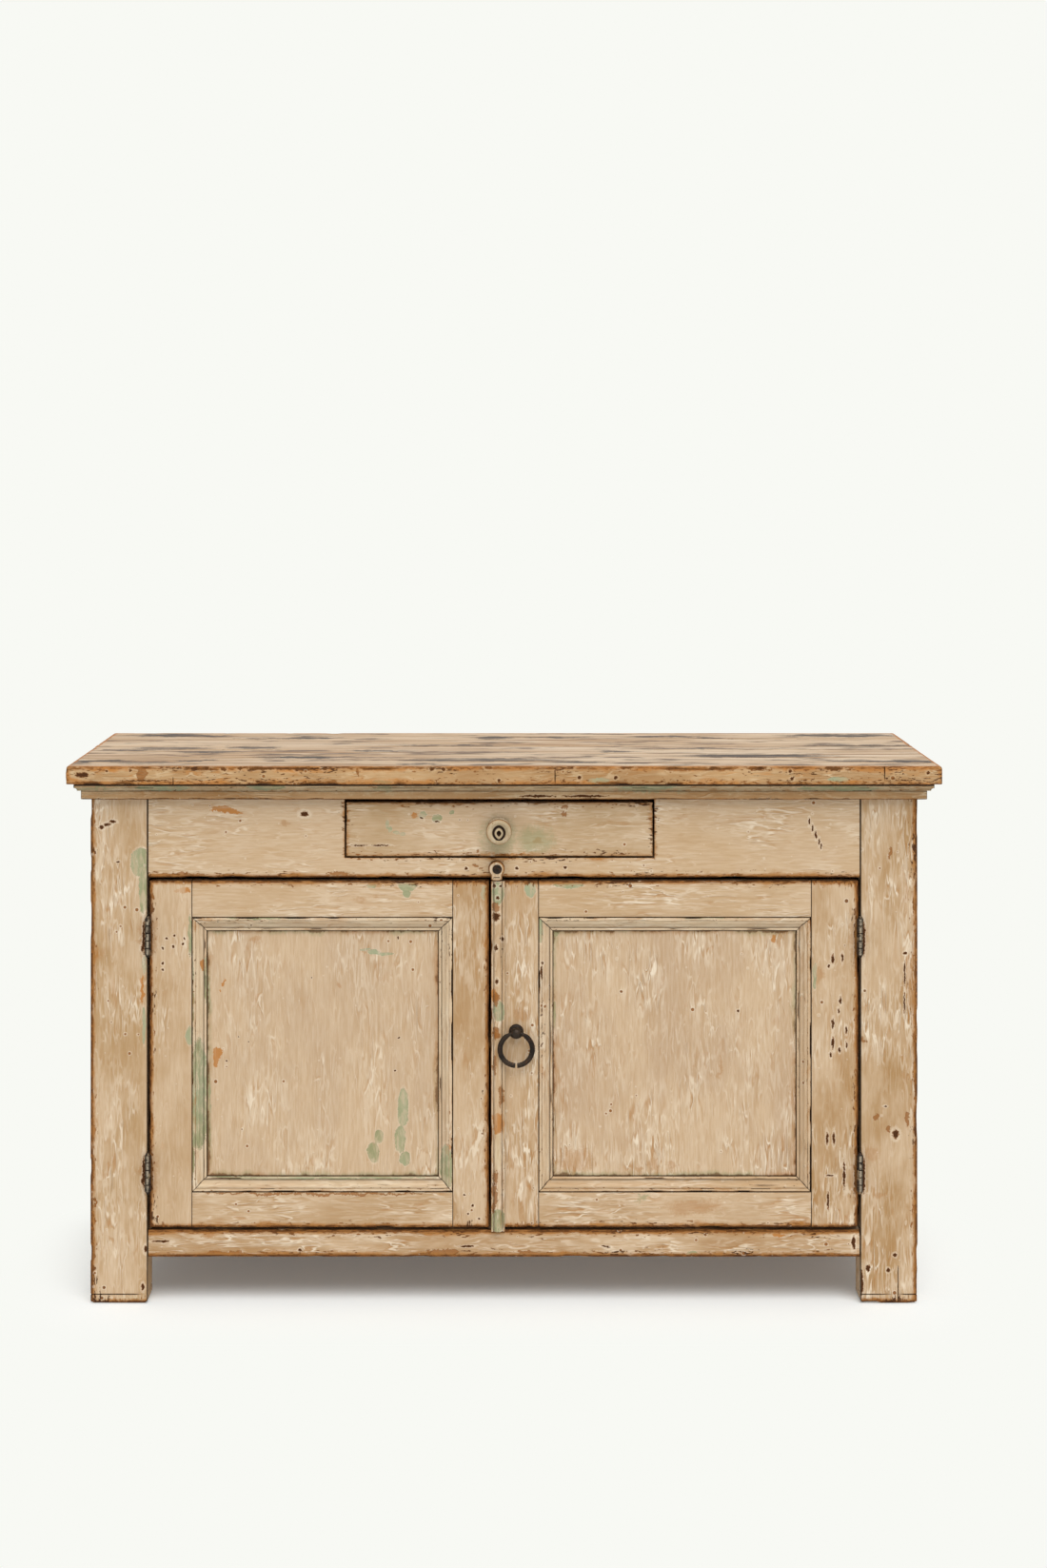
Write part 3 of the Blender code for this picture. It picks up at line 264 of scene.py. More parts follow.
PINE_PALE = colour(182, 140, 94)
PINE_RING = colour(116, 76, 42)
PINE_FIBRE = colour(96, 64, 38)
PINE_STAIN = colour(84, 60, 42)
PINE_KNOT = colour(72, 44, 24)
IRON_BLACK = colour(34, 27, 22)
IRON_GREY = colour(58, 47, 38)
RUST = colour(88, 56, 34)
PAINT_SPECK = colour(186, 160, 126)
RUBBED_IRON_AND_HIGHLIGHT = colour(196, 182, 160)
BACKDROP = colour(248, 249, 244)


# Repeatable noise for the meshes


def cell_value(cells, seed):
    """A repeatable number from 0 to 1 for each whole-number cell."""
    x, y, z = (cells[:, axis].astype(np.int64) for axis in range(3))
    mixed = (x * 374761393 + y * 668265263 + z * 1440662683 + seed * 1274126177) & 0xFFFFFFFF
    mixed = ((mixed ^ (mixed >> 13)) * 1274126177) & 0xFFFFFFFF
    mixed = mixed ^ (mixed >> 16)
    return (mixed & 0xFFFFFF) / 0xFFFFFF


def lattice_noise(places, size, seed):
    """Smooth noise from 0 to 1 with features about one size across."""
    scaled = places / np.asarray(size)
    base = np.floor(scaled)
    part = scaled - base
    part = part * part * (3 - 2 * part)
    total = np.zeros(len(scaled))
    for corner in itertools.product((0, 1), repeat=3):
        weight = np.prod(np.where(corner, part, 1 - part), axis=1)
        total += weight * cell_value(base + corner, seed)
    return total


def ramp(values, low, high):
    share = np.clip((values - low) / (high - low), 0, 1)
    return share * share * (3 - 2 * share)


# Pieces


def new_object(name, places, faces):
    """A smooth mesh with sharp arrises, in the scene."""
    mesh = bpy.data.meshes.new(name)
    mesh.from_pydata(np.asarray(places).tolist(), [], faces)
    mesh.polygons.foreach_set("use_smooth", np.ones(len(mesh.polygons), bool))
    mesh.set_sharp_from_angle(angle=math.radians(SHARP_ANGLE))
    obj = bpy.data.objects.new(name, mesh)
    bpy.context.scene.collection.objects.link(obj)
    return obj


def make_piece(node, places, faces, grain, fields):
    """A piece that stands for a CAD node and carries the fields that the paint reads."""
    obj = new_object(node + "_worn", places, faces)
    vectors = obj.data.attributes.new("grain", "FLOAT_VECTOR", "POINT")
    vectors.data.foreach_set("vector", np.asarray(grain, np.float32).ravel())
    for field, values in fields.items():
        numbers = obj.data.attributes.new(field, "FLOAT", "POINT")
        numbers.data.foreach_set("value", np.broadcast_to(values, len(places)).astype(np.float32))
    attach(obj, body_of[node])
    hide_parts(node)
    return obj


def add_fastener(name, body, places, faces, iron):
    """A small iron piece that has no CAD node of its own."""
    obj = new_object(name, places, faces)
    turn_faces_out(obj)
    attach(obj, body)
    dress(obj, iron)


def turn_faces_out(obj):
    shape = bmesh.new()
    shape.from_mesh(obj.data)
    bmesh.ops.recalc_face_normals(shape, faces=shape.faces[:])
    shape.to_mesh(obj.data)
    shape.free()


def tube_faces(rings, count, first=0):
    """Faces between rings of points, each ring with its count of points, and a cap on both ends."""
    faces = []
    for base in range(first, first + (rings - 1) * count, count):
        for k in range(count):
            m = (k + 1) % count
            faces.append((base + k, base + m, base + count + m, base + count + k))
    last = first + (rings - 1) * count
    return faces + [tuple(range(first, first + count)), tuple(range(last, last + count))]


def dress(obj, *materials):
    for material in materials:
        obj.data.materials.append(material)
    return obj


def mesh_lines(low, high, near, far, step, marks):
    """Places of the mesh lines along one axis: close at the rounded ends, and on every mark."""
    first = low + near
    last = high - far
    count = max(2, round((last - first) / step) + 1)
    inner = np.linspace(first, last, count)
    for mark in marks:
        inner = inner[np.abs(inner - mark) > MARK_CLEARANCE * min(step, MARK_STEP)]
    ends = np.concatenate([low + near * ROUND_STEPS, high - far * ROUND_STEPS])
    places = np.concatenate([ends, inner, np.asarray(marks, float)])
    return np.unique(np.round(places, 7))


def lattice_skin(lines, solid):
    """Outer skin of the filled cells of a lattice: corner places, and four-sided faces."""
    filled = np.pad(solid, 1)
    counts = [len(line) for line in lines]
    strides = np.array([counts[1] * counts[2], counts[2], 1])
    quads = []
    for axis in range(3):
        second, third = (axis + 1) % 3, (axis + 2) % 3
        keep = [slice(1, -1)] * 3
        keep[axis] = slice(None)
        layers = np.moveaxis(filled[tuple(keep)], axis, 0)
        before, after = layers[:-1], layers[1:]
        others = [other for other in range(3) if other != axis]
        for leaves, turns in ((before & ~after, (0, 1, 2, 3)), (~before & after, (3, 2, 1, 0))):
            found = np.argwhere(leaves)
            cell = np.zeros((len(found), 3), int)
            cell[:, axis] = found[:, 0]
            cell[:, others[0]] = found[:, 1]
            cell[:, others[1]] = found[:, 2]
            corners = []
            for step_second, step_third in ((0, 0), (1, 0), (1, 1), (0, 1)):
                corner = cell.copy()
                corner[:, second] += step_second
                corner[:, third] += step_third
                corners.append(corner @ strides)
            quads.append(np.stack([corners[turn] for turn in turns], axis=1))
    quads = np.concatenate(quads)
    used, faces = np.unique(quads, return_inverse=True)
    faces = faces.reshape(quads.shape)
    index = np.stack(np.unravel_index(used, counts), axis=1)
    places = np.stack([lines[axis][index[:, axis]] for axis in range(3)], axis=1)
    return places, faces


def round_off(flat, low, high, radii):
    """Rounds a box's edges. Returns the new places and the outward directions."""
    near, far = radii[:, 0], radii[:, 1]
    middle = np.clip(flat, low + near, high - far)
    reach = np.where(flat < middle, near, far)
    share = np.where(flat == middle, 0.0, (flat - middle) / np.maximum(reach, TINY))
    length = np.linalg.norm(share, axis=1, keepdims=True)
    biggest = np.abs(share).max(axis=1, keepdims=True)
    bent = np.where(length > 0, share / np.maximum(length, LEAST_LENGTH) * biggest, 0.0)
    bent_length = np.maximum(np.linalg.norm(bent, axis=1, keepdims=True), LEAST_LENGTH)
    outward = np.where(length > 0, bent / bent_length, 0.0)
    return middle + bent * reach, outward


def pattern_shift(seed):
    return np.array([(seed * share) % 3 for share in (0.37, 0.83, 0.59)])


def grain_vectors(places, axis, seed):
    """Texture coordinates with the grain along the third, from another part of the pattern for each board."""
    order = [(axis + 1) % 3, (axis + 2) % 3, axis]
    return places[:, order] + pattern_shift(seed)


def worn_board(
    node, grain, seed, slot="cream_paint", radius=0.0022, step=0.007, trim=(0, 0, 0), cut=None, grooves=(),
    chips=1.0, relief=1.0, radii=None, rubbed=0.0, joints=(), foot=None, joint_radius=0.0008, paints=None,
):
    """A board in the place of a CAD node, with rounded, chipped edges and an uneven face.

    Each groove is (axis across it, place, half width, depth, test), where the test takes the corner places
    and outward directions and returns how much of the depth each gets. A joint is the axis and side (0 or 1)
    of an edge that meets another board: it is tight, and isn't worn but has grime in it.
    """
    low, high = (np.array(corner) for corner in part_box(node))
    low += np.array(trim)
    high -= np.array(trim)
    if radii is None:
        radii = np.full((3, 2), radius)
        for axis, side in joints:
            radii[axis, side] = joint_radius
    if foot is not None:
        radii[2, 0] = foot
    marks = [[], [], []]
    for axis, place, half, depth, test in grooves:
        marks[axis] += [place - half, place, place + half]
    if cut is not None:
        for axis in range(3):
            for place, side in zip((cut[0][axis], cut[1][axis]), (-1, 1)):
                if low[axis] < place < high[axis]:
                    marks[axis] += [place, place + side * 2 * EASE]
    lines = [mesh_lines(low[axis], high[axis], *radii[axis], step, marks[axis]) for axis in range(3)]
    solid = np.ones([len(line) - 1 for line in lines], bool)
    if cut is not None:
        inside = []
        for axis in range(3):
            centres = (lines[axis][:-1] + lines[axis][1:]) / 2
            inside.append((centres > cut[0][axis]) & (centres < cut[1][axis]))
        solid &= ~(inside[0][:, None, None] & inside[1][None, :, None] & inside[2][None, None, :])
    flat, faces = lattice_skin(lines, solid)
    places, outward = round_off(flat, low, high, radii)

    reach = np.concatenate([flat - low, high - flat], axis=1)
    dirt_and_shade = np.zeros(len(flat))
    grimy = JOINT_GRIME_SHARE * joint_radius if joint_radius > EASE else TINY
    for axis, side in joints:
        beside = axis + 3 * side
        on_face = np.delete(reach, beside, axis=1).min(axis=1) < TINY
        dirt_and_shade = np.maximum(dirt_and_shade, np.where(on_face & (reach[:, beside] < grimy), JOINT_GRIME, 0.0))
        reach[:, beside] += 2 * WEAR_REACH
    nearest = np.minimum(reach[:, :3], reach[:, 3:])
    nearest.sort(axis=1)
    edge = nearest[:, 1]
    if cut is not None:
        away = np.maximum(np.maximum(np.array(cut[0]) - flat, flat - np.array(cut[1])), 0)
        edge = np.minimum(edge, CUT_UNWORN + np.linalg.norm(away, axis=1))

    stretch = np.full(3, CHIP_SIZE)
    stretch[grain] *= CHIP_STRETCH
    bite = ramp(lattice_noise(flat, stretch, seed), *CHIPPED)
    bite *= ramp(lattice_noise(flat, stretch * 4, seed + 7), *CHIPPED_AREAS)
    bite *= np.clip(1 - edge / CHIP_REACH, 0, 1) * chips
    wave = lattice_noise(flat, WAVE_SIZE, seed + 1)
    depth = SKIN + WAVE_DEPTH * wave + CHIP_DEPTH * bite
    for axis, place, half, groove_depth, test in grooves:
        on_line = np.abs(flat[:, axis] - place) < TINY
        share = np.where(on_line, test(flat, outward), 0.0)
        depth += groove_depth * share
        dirt_and_shade = np.maximum(dirt_and_shade, share)
    places = places - outward * depth[:, None]
    if foot is not None:
        # The bottom corners are worn round
        low_share = np.clip(1 - (flat[:, 2] - low[2]) / foot, 0, 1)
        centre = (low + high) / 2
        places[:, :2] -= np.sign(flat[:, :2] - centre[:2]) * (FOOT_SPREAD * foot * low_share ** 2)[:, None]
    if cut is not None:
        front = np.abs(flat[:, 1] - low[1]) < TINY
        rim = front & (edge < CUT_UNWORN + TINY) & (nearest[:, 1] > 2 * EASE)
        places[rim, 1] += EASE
    fields = {
        "wear": np.clip(1 + rubbed - edge / WEAR_REACH, 0, 1), "chip": np.clip(bite, 0, 1), "dirt_and_shade": dirt_and_shade,
        "relief": relief,
    }
    board = make_piece(node, places, faces.tolist(), grain_vectors(flat, grain, seed), fields)
    return dress(board, *(paints or [paint_of(node)]))


def refined(profile, longest):
    """The profile with more points on its long sides."""
    points = []
    for first, second in zip(profile, profile[1:] + profile[:1]):
        length = math.dist(first, second)
        count = max(1, math.ceil(length / longest))
        for k in range(count):
            share = k / count
            points.append(tuple(a + (b - a) * share for a, b in zip(first, second)))
    return np.array(points)


def profile_corners(profile):
    """For each point, how far it turns outward (edge) and inward (crease), and its outward direction."""
    before = profile - np.roll(profile, 1, axis=0)
    after = np.roll(profile, -1, axis=0) - profile
    area = np.sum(profile[:, 0] * np.roll(profile[:, 1], -1) - profile[:, 1] * np.roll(profile[:, 0], -1))
    turn = math.copysign(1, area)
    before /= np.linalg.norm(before, axis=1, keepdims=True)
    after /= np.linalg.norm(after, axis=1, keepdims=True)
    cross = before[:, 0] * after[:, 1] - before[:, 1] * after[:, 0]
    angle = np.degrees(np.arctan2(cross, np.sum(before * after, axis=1))) * turn
    tangent = before + after
    tangent /= np.maximum(np.linalg.norm(tangent, axis=1, keepdims=True), LEAST_LENGTH)
    outward = np.stack([tangent[:, 1], -tangent[:, 0]], axis=1) * turn
    return np.clip(angle / EDGE_TURN, 0, 1), np.clip(-angle / CREASE_TURN, 0, 1), outward


def worn_stick(
    node, profile, start, along, outward, upward, length, mitres, seed, step=0.008, chips=1.0, relief=1.0,
    rubbed=0.80, grime_and_shadow_above=1.0, outer_grime=-1.0, clean_above=1.0, crease_grime_and_shade=0.5,
):
    """A moulding with a worn profile. Each end leans by a share of outward travel, as its mitre does."""
    points = refined(profile, STICK_MESH)
    edge, crease, normals = profile_corners(points)
    edge = np.where(points[:, 1] > grime_and_shadow_above, 0.0, edge)
    crease = np.where(points[:, 1] > clean_above, 0.0, crease)
    sides = np.linalg.norm(np.roll(points, -1, axis=0) - points, axis=1)
    around = np.concatenate([[0.0], np.cumsum(sides)[:-1]])
    apart = np.abs(around[:, None] - around[None, :])
    apart = np.minimum(apart, sides.sum() - apart)
    near_end = MITRE_LINE / length
    shares = np.linspace(near_end, 1 - near_end, max(2, round(length / step)) + 1)
    shares = np.concatenate([[0.0], shares, [1.0]])
    stations = len(shares)
    start, along, outward, upward = (np.array(v, float) for v in (start, along, outward, upward))
    out, up = points[:, 0], points[:, 1]
    run = mitres[0] * out + shares[:, None] * (length + (mitres[1] - mitres[0]) * out)
    flat = start + run[..., None] * along + out[:, None] * outward + up[:, None] * upward
    direction = normals[:, :1] * outward + normals[:, 1:] * upward
    flat = flat.reshape(-1, 3)
    direction = np.tile(direction, (stations, 1))
    edges = np.tile(edge, stations)
    size = CHIP_SIZE + np.abs(along) * CHIP_SIZE * (CHIP_STRETCH - 1)
    bite = ramp(lattice_noise(flat, size, seed), *STICK_CHIPPED) * edges * chips
    wave = lattice_noise(flat, STICK_WAVE_SIZE, seed + 1)
    depth = SKIN + STICK_WAVE_DEPTH * wave + CHIP_DEPTH * bite
    places = flat - direction * depth[:, None]
    faces = tube_faces(stations, len(points))
    grain = np.stack([np.tile(around, stations), np.zeros(len(flat)), run.ravel()], axis=1)
    grain += pattern_shift(seed)
    rim = (rubbed * edge[None, :] * np.clip(1 - apart / STICK_WEAR_REACH, 0, 1)).max(axis=1)
    rim = np.where((up < RIM_HEIGHT) | (out < RIM_HEIGHT), 1.0, np.minimum(rim, 1.0))
    # Creases get grime and painted shade, the band above gets joint grime and painted shadow, and mitres and
    # outer edges get joint grime
    grime_and_shade = (crease[None, :] * np.clip(1 - apart / STICK_GRIME_AND_SHADE_REACH, 0, 1)).max(axis=1)
    grime_and_shade = np.where(up > grime_and_shadow_above, JOINT_GRIME, crease_grime_and_shade * grime_and_shade)
    grime_and_shade = np.where((out < outer_grime) | (up < outer_grime), OUTER_GRIME, grime_and_shade)
    grime_and_shade = np.tile(grime_and_shade, (stations, 1))
    for end, station in ((0, 0), (1, -1)):
        if mitres[end]:
            grime_and_shade[station] = JOINT_GRIME
    fields = {
        "wear": np.tile(rim, stations), "chip": np.clip(bite, 0, 1), "dirt_and_shade": grime_and_shade.ravel(), "relief": relief,
    }
    stick = make_piece(node, places, faces, grain, fields)
    turn_faces_out(stick)
    dress(stick, paint_of(node))


def turned_mesh(profile, centre, steps=40, squeeze=None):
    """A shape turned about an axis towards -Y. The profile has (radius, distance out, dirt and painted shade,
    wear) points.
    """
    places, fields = [], []
    for radius, out, dirt_and_shade, wear in profile:
        for k in range(steps):
            angle = 2 * math.pi * k / steps
            across, rise = radius * math.cos(angle), radius * math.sin(angle)
            if squeeze is not None:
                across, rise = squeeze(across, rise)
            places.append((centre[0] + across, centre[1] - out, centre[2] + rise))
            fields.append((dirt_and_shade, wear))
    return np.array(places), tube_faces(len(profile), steps), np.array(fields)


def arc(centre_a, centre_b, radius_a, radius_b, first, last, steps):
    """Points on an ellipse's arc between two angles in degrees."""
    points = []
    for k in range(steps + 1):
        angle = math.radians(first + (last - first) * k / steps)
        points.append((centre_a + radius_a * math.cos(angle), centre_b + radius_b * math.sin(angle)))
    return points


# Shader nodes


class Graph:
    """Short calls that make the nodes of a material or a world. The base colour is built up coat by coat."""

    def __init__(self, owner):
        self.owner = owner
        owner.use_nodes = True
        self.tree = owner.node_tree
        self.tree.nodes.clear()
        self.base = None

    def node(self, kind, inputs=(), **settings):
        made = self.tree.nodes.new(kind)
        for key, value in settings.items():
            setattr(made, key, value)
        for socket, value in dict(inputs).items():
            if isinstance(value, bpy.types.NodeSocket):
                self.tree.links.new(value, made.inputs[socket])
            else:
                made.inputs[socket].default_value = value
        return made

    def field(self, name, kind="Fac"):
        return self.node("ShaderNodeAttribute", attribute_name=name).outputs[kind]

    def object_place(self):
        return self.node("ShaderNodeTexCoord").outputs["Object"]

    def split(self, vector):
        return self.node("ShaderNodeSeparateXYZ", {0: vector}).outputs

    def vector(self, operation, first, second=NOWHERE):
        made = self.node("ShaderNodeVectorMath", {0: first, 1: second}, operation=operation)
        return made.outputs["Value" if operation == "LENGTH" else "Vector"]

    def noise(self, vector, across, along, detail=2.0, rough=0.5, bend=0.0):
        scaled = self.vector("MULTIPLY", vector, (across, across, along))
        inputs = {"Vector": scaled, "Scale": 1.0, "Detail": detail, "Roughness": rough, "Distortion": bend}
        return self.node("ShaderNodeTexNoise", inputs).outputs[0]

    def maths(self, operation, first, second=0.0):
        return self.node("ShaderNodeMath", {0: first, 1: second}, operation=operation).outputs[0]

    def times(self, first, second):
        return self.maths("MULTIPLY", first, second)

    def plus(self, first, second):
        return self.maths("ADD", first, second)

    def minus(self, first, second):
        return self.maths("SUBTRACT", first, second)

    def apart(self, first, second):
        return self.maths("ABSOLUTE", self.minus(first, second))

    def largest(self, *values):
        return functools.reduce(lambda first, second: self.maths("MAXIMUM", first, second), values)

    def smallest(self, *values):
        return functools.reduce(lambda first, second: self.maths("MINIMUM", first, second), values)

    def total(self, *terms):
        """The sum of (socket, factor) pairs."""
        return functools.reduce(self.plus, [self.times(socket, factor) for socket, factor in terms])

    def ramp(self, value, low, high, bottom=0.0, top=1.0):
        inputs = {"Value": value, "From Min": low, "From Max": high, "To Min": bottom, "To Max": top}
        return self.node("ShaderNodeMapRange", inputs, interpolation_type="SMOOTHSTEP").outputs[0]

    def mix(self, amount, first, second):
        return self.node("ShaderNodeMix", {0: amount, 6: first, 7: second}, data_type="RGBA").outputs[2]

    def coat(self, amount, tint, share=None):
        """Lays a tint over the base colour, as far as the amount goes, at a share of its strength."""
        if share is not None:
            amount = self.times(amount, share)
        self.base = self.mix(amount, self.base, tint)

    def forward(self):
        """How far the surface looks towards the front, from -1 to 1, in the piece's own space."""
        normal = self.node("ShaderNodeTexCoord").outputs["Normal"]
        return self.times(self.split(normal)[1], -1.0)

    def unseen_sides(self):
        """A distance to add where the surface doesn't look forward, so that no patch reaches it."""
        return self.ramp(self.forward(), *LOOKS_FORWARD, FAR_OFF, 0.0)

    def reach(self, place, patches, ragged=0.5, wander=0.022, size=65.0, front=True):
        """Distance from the nearest patch's middle, 1 on its ragged rim.

        Each patch is (x, z, half width, half height). Those on the front don't show on the sides or back.
        """
        inputs = {"Vector": place, "Scale": size, "Detail": 4.0, "Roughness": 0.65}
        rough = self.node("ShaderNodeTexNoise", inputs).outputs[1]
        shift = self.vector("SUBTRACT", rough, (0.5, 0.5, 0.5))
        moved = self.vector("ADD", place, self.vector("MULTIPLY", shift, (wander, 0.0, wander)))
        lengths = []
        for x, z, half_x, half_z in patches:
            offset = self.vector("SUBTRACT", moved, (x, 0.0, z))
            share = self.vector("MULTIPLY", offset, (1 / half_x, 0.0, 1 / half_z))
            lengths.append(self.vector("LENGTH", share))
        grit = self.noise(place, 420.0, 420.0)
        nearest = self.plus(self.smallest(*lengths), self.unseen_sides() if front else 0.0)
        return self.plus(nearest, self.times(self.minus(grit, 0.5), ragged))

    def patches(self, place, patches):
        """1 on the patches and 0 off them."""
        return self.ramp(self.reach(place, patches), 1.08, 0.92)

    def seen_directly(self):
        """1 for the camera and for what is mirrored or seen through glass, 0 for the light on things."""
        path = self.node("ShaderNodeLightPath").outputs
        return self.largest(
            path["Is Camera Ray"], self.largest(path["Is Glossy Ray"], path["Is Transmission Ray"])
        )

    def principled(self, roughness, height, bump, metallic=0.0, specular=0.35):
        normal = self.node("ShaderNodeBump", {"Height": height, "Distance": bump, "Strength": 1.0})
        shader = self.node("ShaderNodeBsdfPrincipled", {
            "Base Color": self.base, "Roughness": roughness, "Normal": normal.outputs[0],
            "Metallic": metallic, "Specular IOR Level": specular,
        })
        self.node("ShaderNodeOutputMaterial", {"Surface": shader.outputs[0]})
        return self.owner


def on_plane(spots, plane):
    """Marks from the photograph's pixels to metres on an upright plane. A frame is in metres already."""
    if isinstance(spots, tuple):
        return spots
    scale = (EYE_DISTANCE + plane) / FOCAL_PIXELS
    moved = []
    for column, row, half_width, half_height in spots:
        x = (column - MIDDLE_COLUMN) * scale
        z = EYE_HEIGHT - (row - HORIZON_ROW) * scale
        moved.append((x, z, half_width * scale, half_height * scale))
    return moved


class Paint(Graph):
    """Old brushed paint over green paint over pine. Marks lists patches of each colour, by name."""

    def __init__(self, name, marks, plane, worn, light, browned):
        super().__init__(bpy.data.materials.new(name))
        self.marks = {key: on_plane(spots, plane) for key, spots in marks.items()}
        self.plane = plane
        self.worn = worn
        self.light = light
        self.browned = browned
        self.under = None
        self.grain = self.field("grain", "Vector")
        self.wear = self.field("wear")
        self.place = self.object_place()
        self.mottle = self.noise(self.grain, 10.0, 5.0, detail=4.0, rough=0.6)
        self.streak = self.noise(self.grain, 58.0, 8.0, detail=3.0)
        self.brush = self.noise(self.grain, 340.0, 30.0)
        self.rag = self.noise(self.grain, 130.0, 42.0, detail=4.0, rough=0.62)
        self.blotch = self.noise(self.grain, 36.0, 17.0, detail=5.0, rough=0.66)

    def strokes(self):
        """Raised brush strokes along the level lines of a broad noise, with a painted highlight on the ridge,
        and painted shade in a brown line on one side.

        Fine ones lie between them. They are thick in some places and thin in others.
        """
        cluster = self.ramp(self.noise(self.grain, 14.0, 7.0), 0.40, 0.64, 0.22, 1.0)
        breaks = self.ramp(self.noise(self.grain, 48.0, 26.0, detail=1.0), 0.42, 0.56, 0.15, 1.0)
        strength = self.times(cluster, self.field("relief"))
        broken = self.times(strength, breaks)
        broad = self.noise(self.grain, 96.0, 15.0, rough=0.4, bend=0.7)
        line = self.times(self.ramp(self.apart(broad, 0.52), 0.044, 0.012), broken)
        self.side = self.times(self.ramp(self.apart(broad, 0.44), 0.042, 0.008), broken)
        stroke = self.noise(self.grain, 165.0, 20.0, bend=0.4)
        worm = self.ramp(self.apart(stroke, 0.56), 0.080, 0.020)
        self.ridge = self.largest(line, self.times(self.times(worm, strength), 0.45))
        self.hollow = self.times(self.ramp(stroke, 0.44, 0.32), strength)

    def ground(self, low, high):
        self.base = self.mix(self.ramp(self.mottle, 0.34, 0.64), low, high)
        self.coat(self.ramp(self.streak, 0.56, 0.74), DEEP, 0.16 * self.worn)
        self.coat(self.ramp(self.brush, 0.60, 0.40), DEEP, 0.20)
        # Painted shade in the hollows and in the brown line beside each stroke, and a painted highlight on
        # its ridge
        self.coat(self.hollow, DEEP, 0.32)
        self.coat(self.side, self.browned, 0.55)
        self.coat(self.ridge, self.light, 0.82)
        smear = self.noise(self.grain, 20.0, 8.0, detail=5.0, rough=0.68)
        self.coat(self.ramp(smear, 0.66, 0.76), ORANGE, 0.40)

    def painted_marks(self):
        """The patches of other colours. Green is an older coat, so it lies lower, with a pale broken rim."""
        marks = self.marks
        if "tan" in marks:
            rub = self.ramp(self.streak, 0.34, 0.52, 0.35, 1.0)
            self.coat(self.times(self.patches(self.place, marks["tan"]), rub), ORANGE, 0.9)
        if "deep" in marks:
            reach = self.reach(self.place, marks["deep"], ragged=0.9, wander=0.03)
            self.coat(self.ramp(reach, 1.35, 0.55), self.browned, 0.42)
        # Pale patches: paler paint, and on the cornice painted light that lifts the slab's shadow from the
        # upper band
        if "pale" in marks:
            self.coat(self.patches(self.place, marks["pale"]), PALE, 0.35)
        if "olive" in marks:
            reach = self.reach(self.place, marks["olive"], ragged=0.9, wander=0.04)
            self.coat(self.ramp(reach, 1.45, 0.45), OLIVE, 0.62)
        if "green" in marks:
            reach = self.reach(self.place, marks["green"], ragged=0.3, wander=0.012, size=48.0)
            self.under = self.ramp(reach, 1.05, 0.95)
            self.coat(self.ramp(reach, 1.22, 1.06), self.light, 0.22)
            cover = self.times(self.under, self.ramp(self.rag, 0.42, 0.64, 1.0, 0.45))
            self.coat(cover, self.mix(self.ramp(self.mottle, 0.35, 0.65), GREEN, OLIVE))

    def edges(self, outline):
        """Towards the edges the paint goes brown, thins to bare wood, and turns dark on the arris itself."""
        ragged = self.minus(self.blotch, 0.5)
        near = self.total((self.maths("POWER", self.wear, 1.6), 0.72), (ragged, 2.3))
        self.coat(self.ramp(near, 0.30, 0.85), self.browned, min(1.0, 0.85 * self.worn))
        close = self.maths("POWER", self.wear, 2.6)
        ragged = self.minus(self.rag, 0.5)
        bare = self.total((close, 0.52 * self.worn), (ragged, 1.35), (self.field("chip"), 0.6))
        if "bare" in self.marks:
            bare = self.largest(bare, self.times(self.patches(self.place, self.marks["bare"]), 0.66))
        if "dark" in self.marks:
            reach = self.reach(self.place, self.marks["dark"], ragged=0.9, wander=0.007, size=160.0)
            self.coat(self.ramp(reach, 2.0, 1.4, 0.0, 0.35), self.light)
            bare = self.largest(bare, self.ramp(reach, 1.45, 0.55))
        self.thin = self.ramp(bare, 0.50, 0.62)
        self.coat(self.thin, WOOD, 0.8)
        self.coat(self.ramp(bare, 0.72, 0.92), DARK_WOOD)
        broken = self.ramp(self.blotch, 0.28, 0.58, 0.28, 1.0)
        self.coat(self.times(self.ramp(self.wear, 0.56, 0.90), broken), BROWNED, outline)
        broken = self.ramp(self.rag, 0.33, 0.55, 0.25, 1.0)
        self.coat(self.times(self.ramp(self.wear, 0.83, 0.95), broken), EDGE_BROWN, outline)

    def pits(self):
        """Round pits with a pale rim, and small brown flecks near the edges."""
        crowd = self.noise(self.grain, 22.0, 9.0)
        cells = self.node("ShaderNodeTexVoronoi", {"Vector": self.place, "Scale": 46.0}).outputs["Distance"]
        apart = self.minus(cells, self.ramp(crowd, 0.50, 0.70, 0.0, 0.16))
        self.pit = self.ramp(apart, 0.02, -0.03)
        self.rim = self.ramp(apart, 0.10, 0.03)
        self.coat(self.rim, self.light, 0.35)
        self.coat(self.pit, self.mix(self.ramp(self.mottle, 0.50, 0.70, 0.1, 0.7), WOOD, DARK_WOOD), 0.95)
        grit = self.noise(self.grain, 300.0, 96.0, rough=0.6)
        lean = self.total((grit, 1.0), (self.minus(crowd, 0.5), 0.32), (self.wear, 0.22))
        self.hole = self.times(self.ramp(lean, 0.75, 0.80), self.ramp(self.wear, 0.02, 0.25))
        self.coat(self.hole, self.mix(self.ramp(crowd, 0.48, 0.68), WOOD, DARK_WOOD), 0.95)

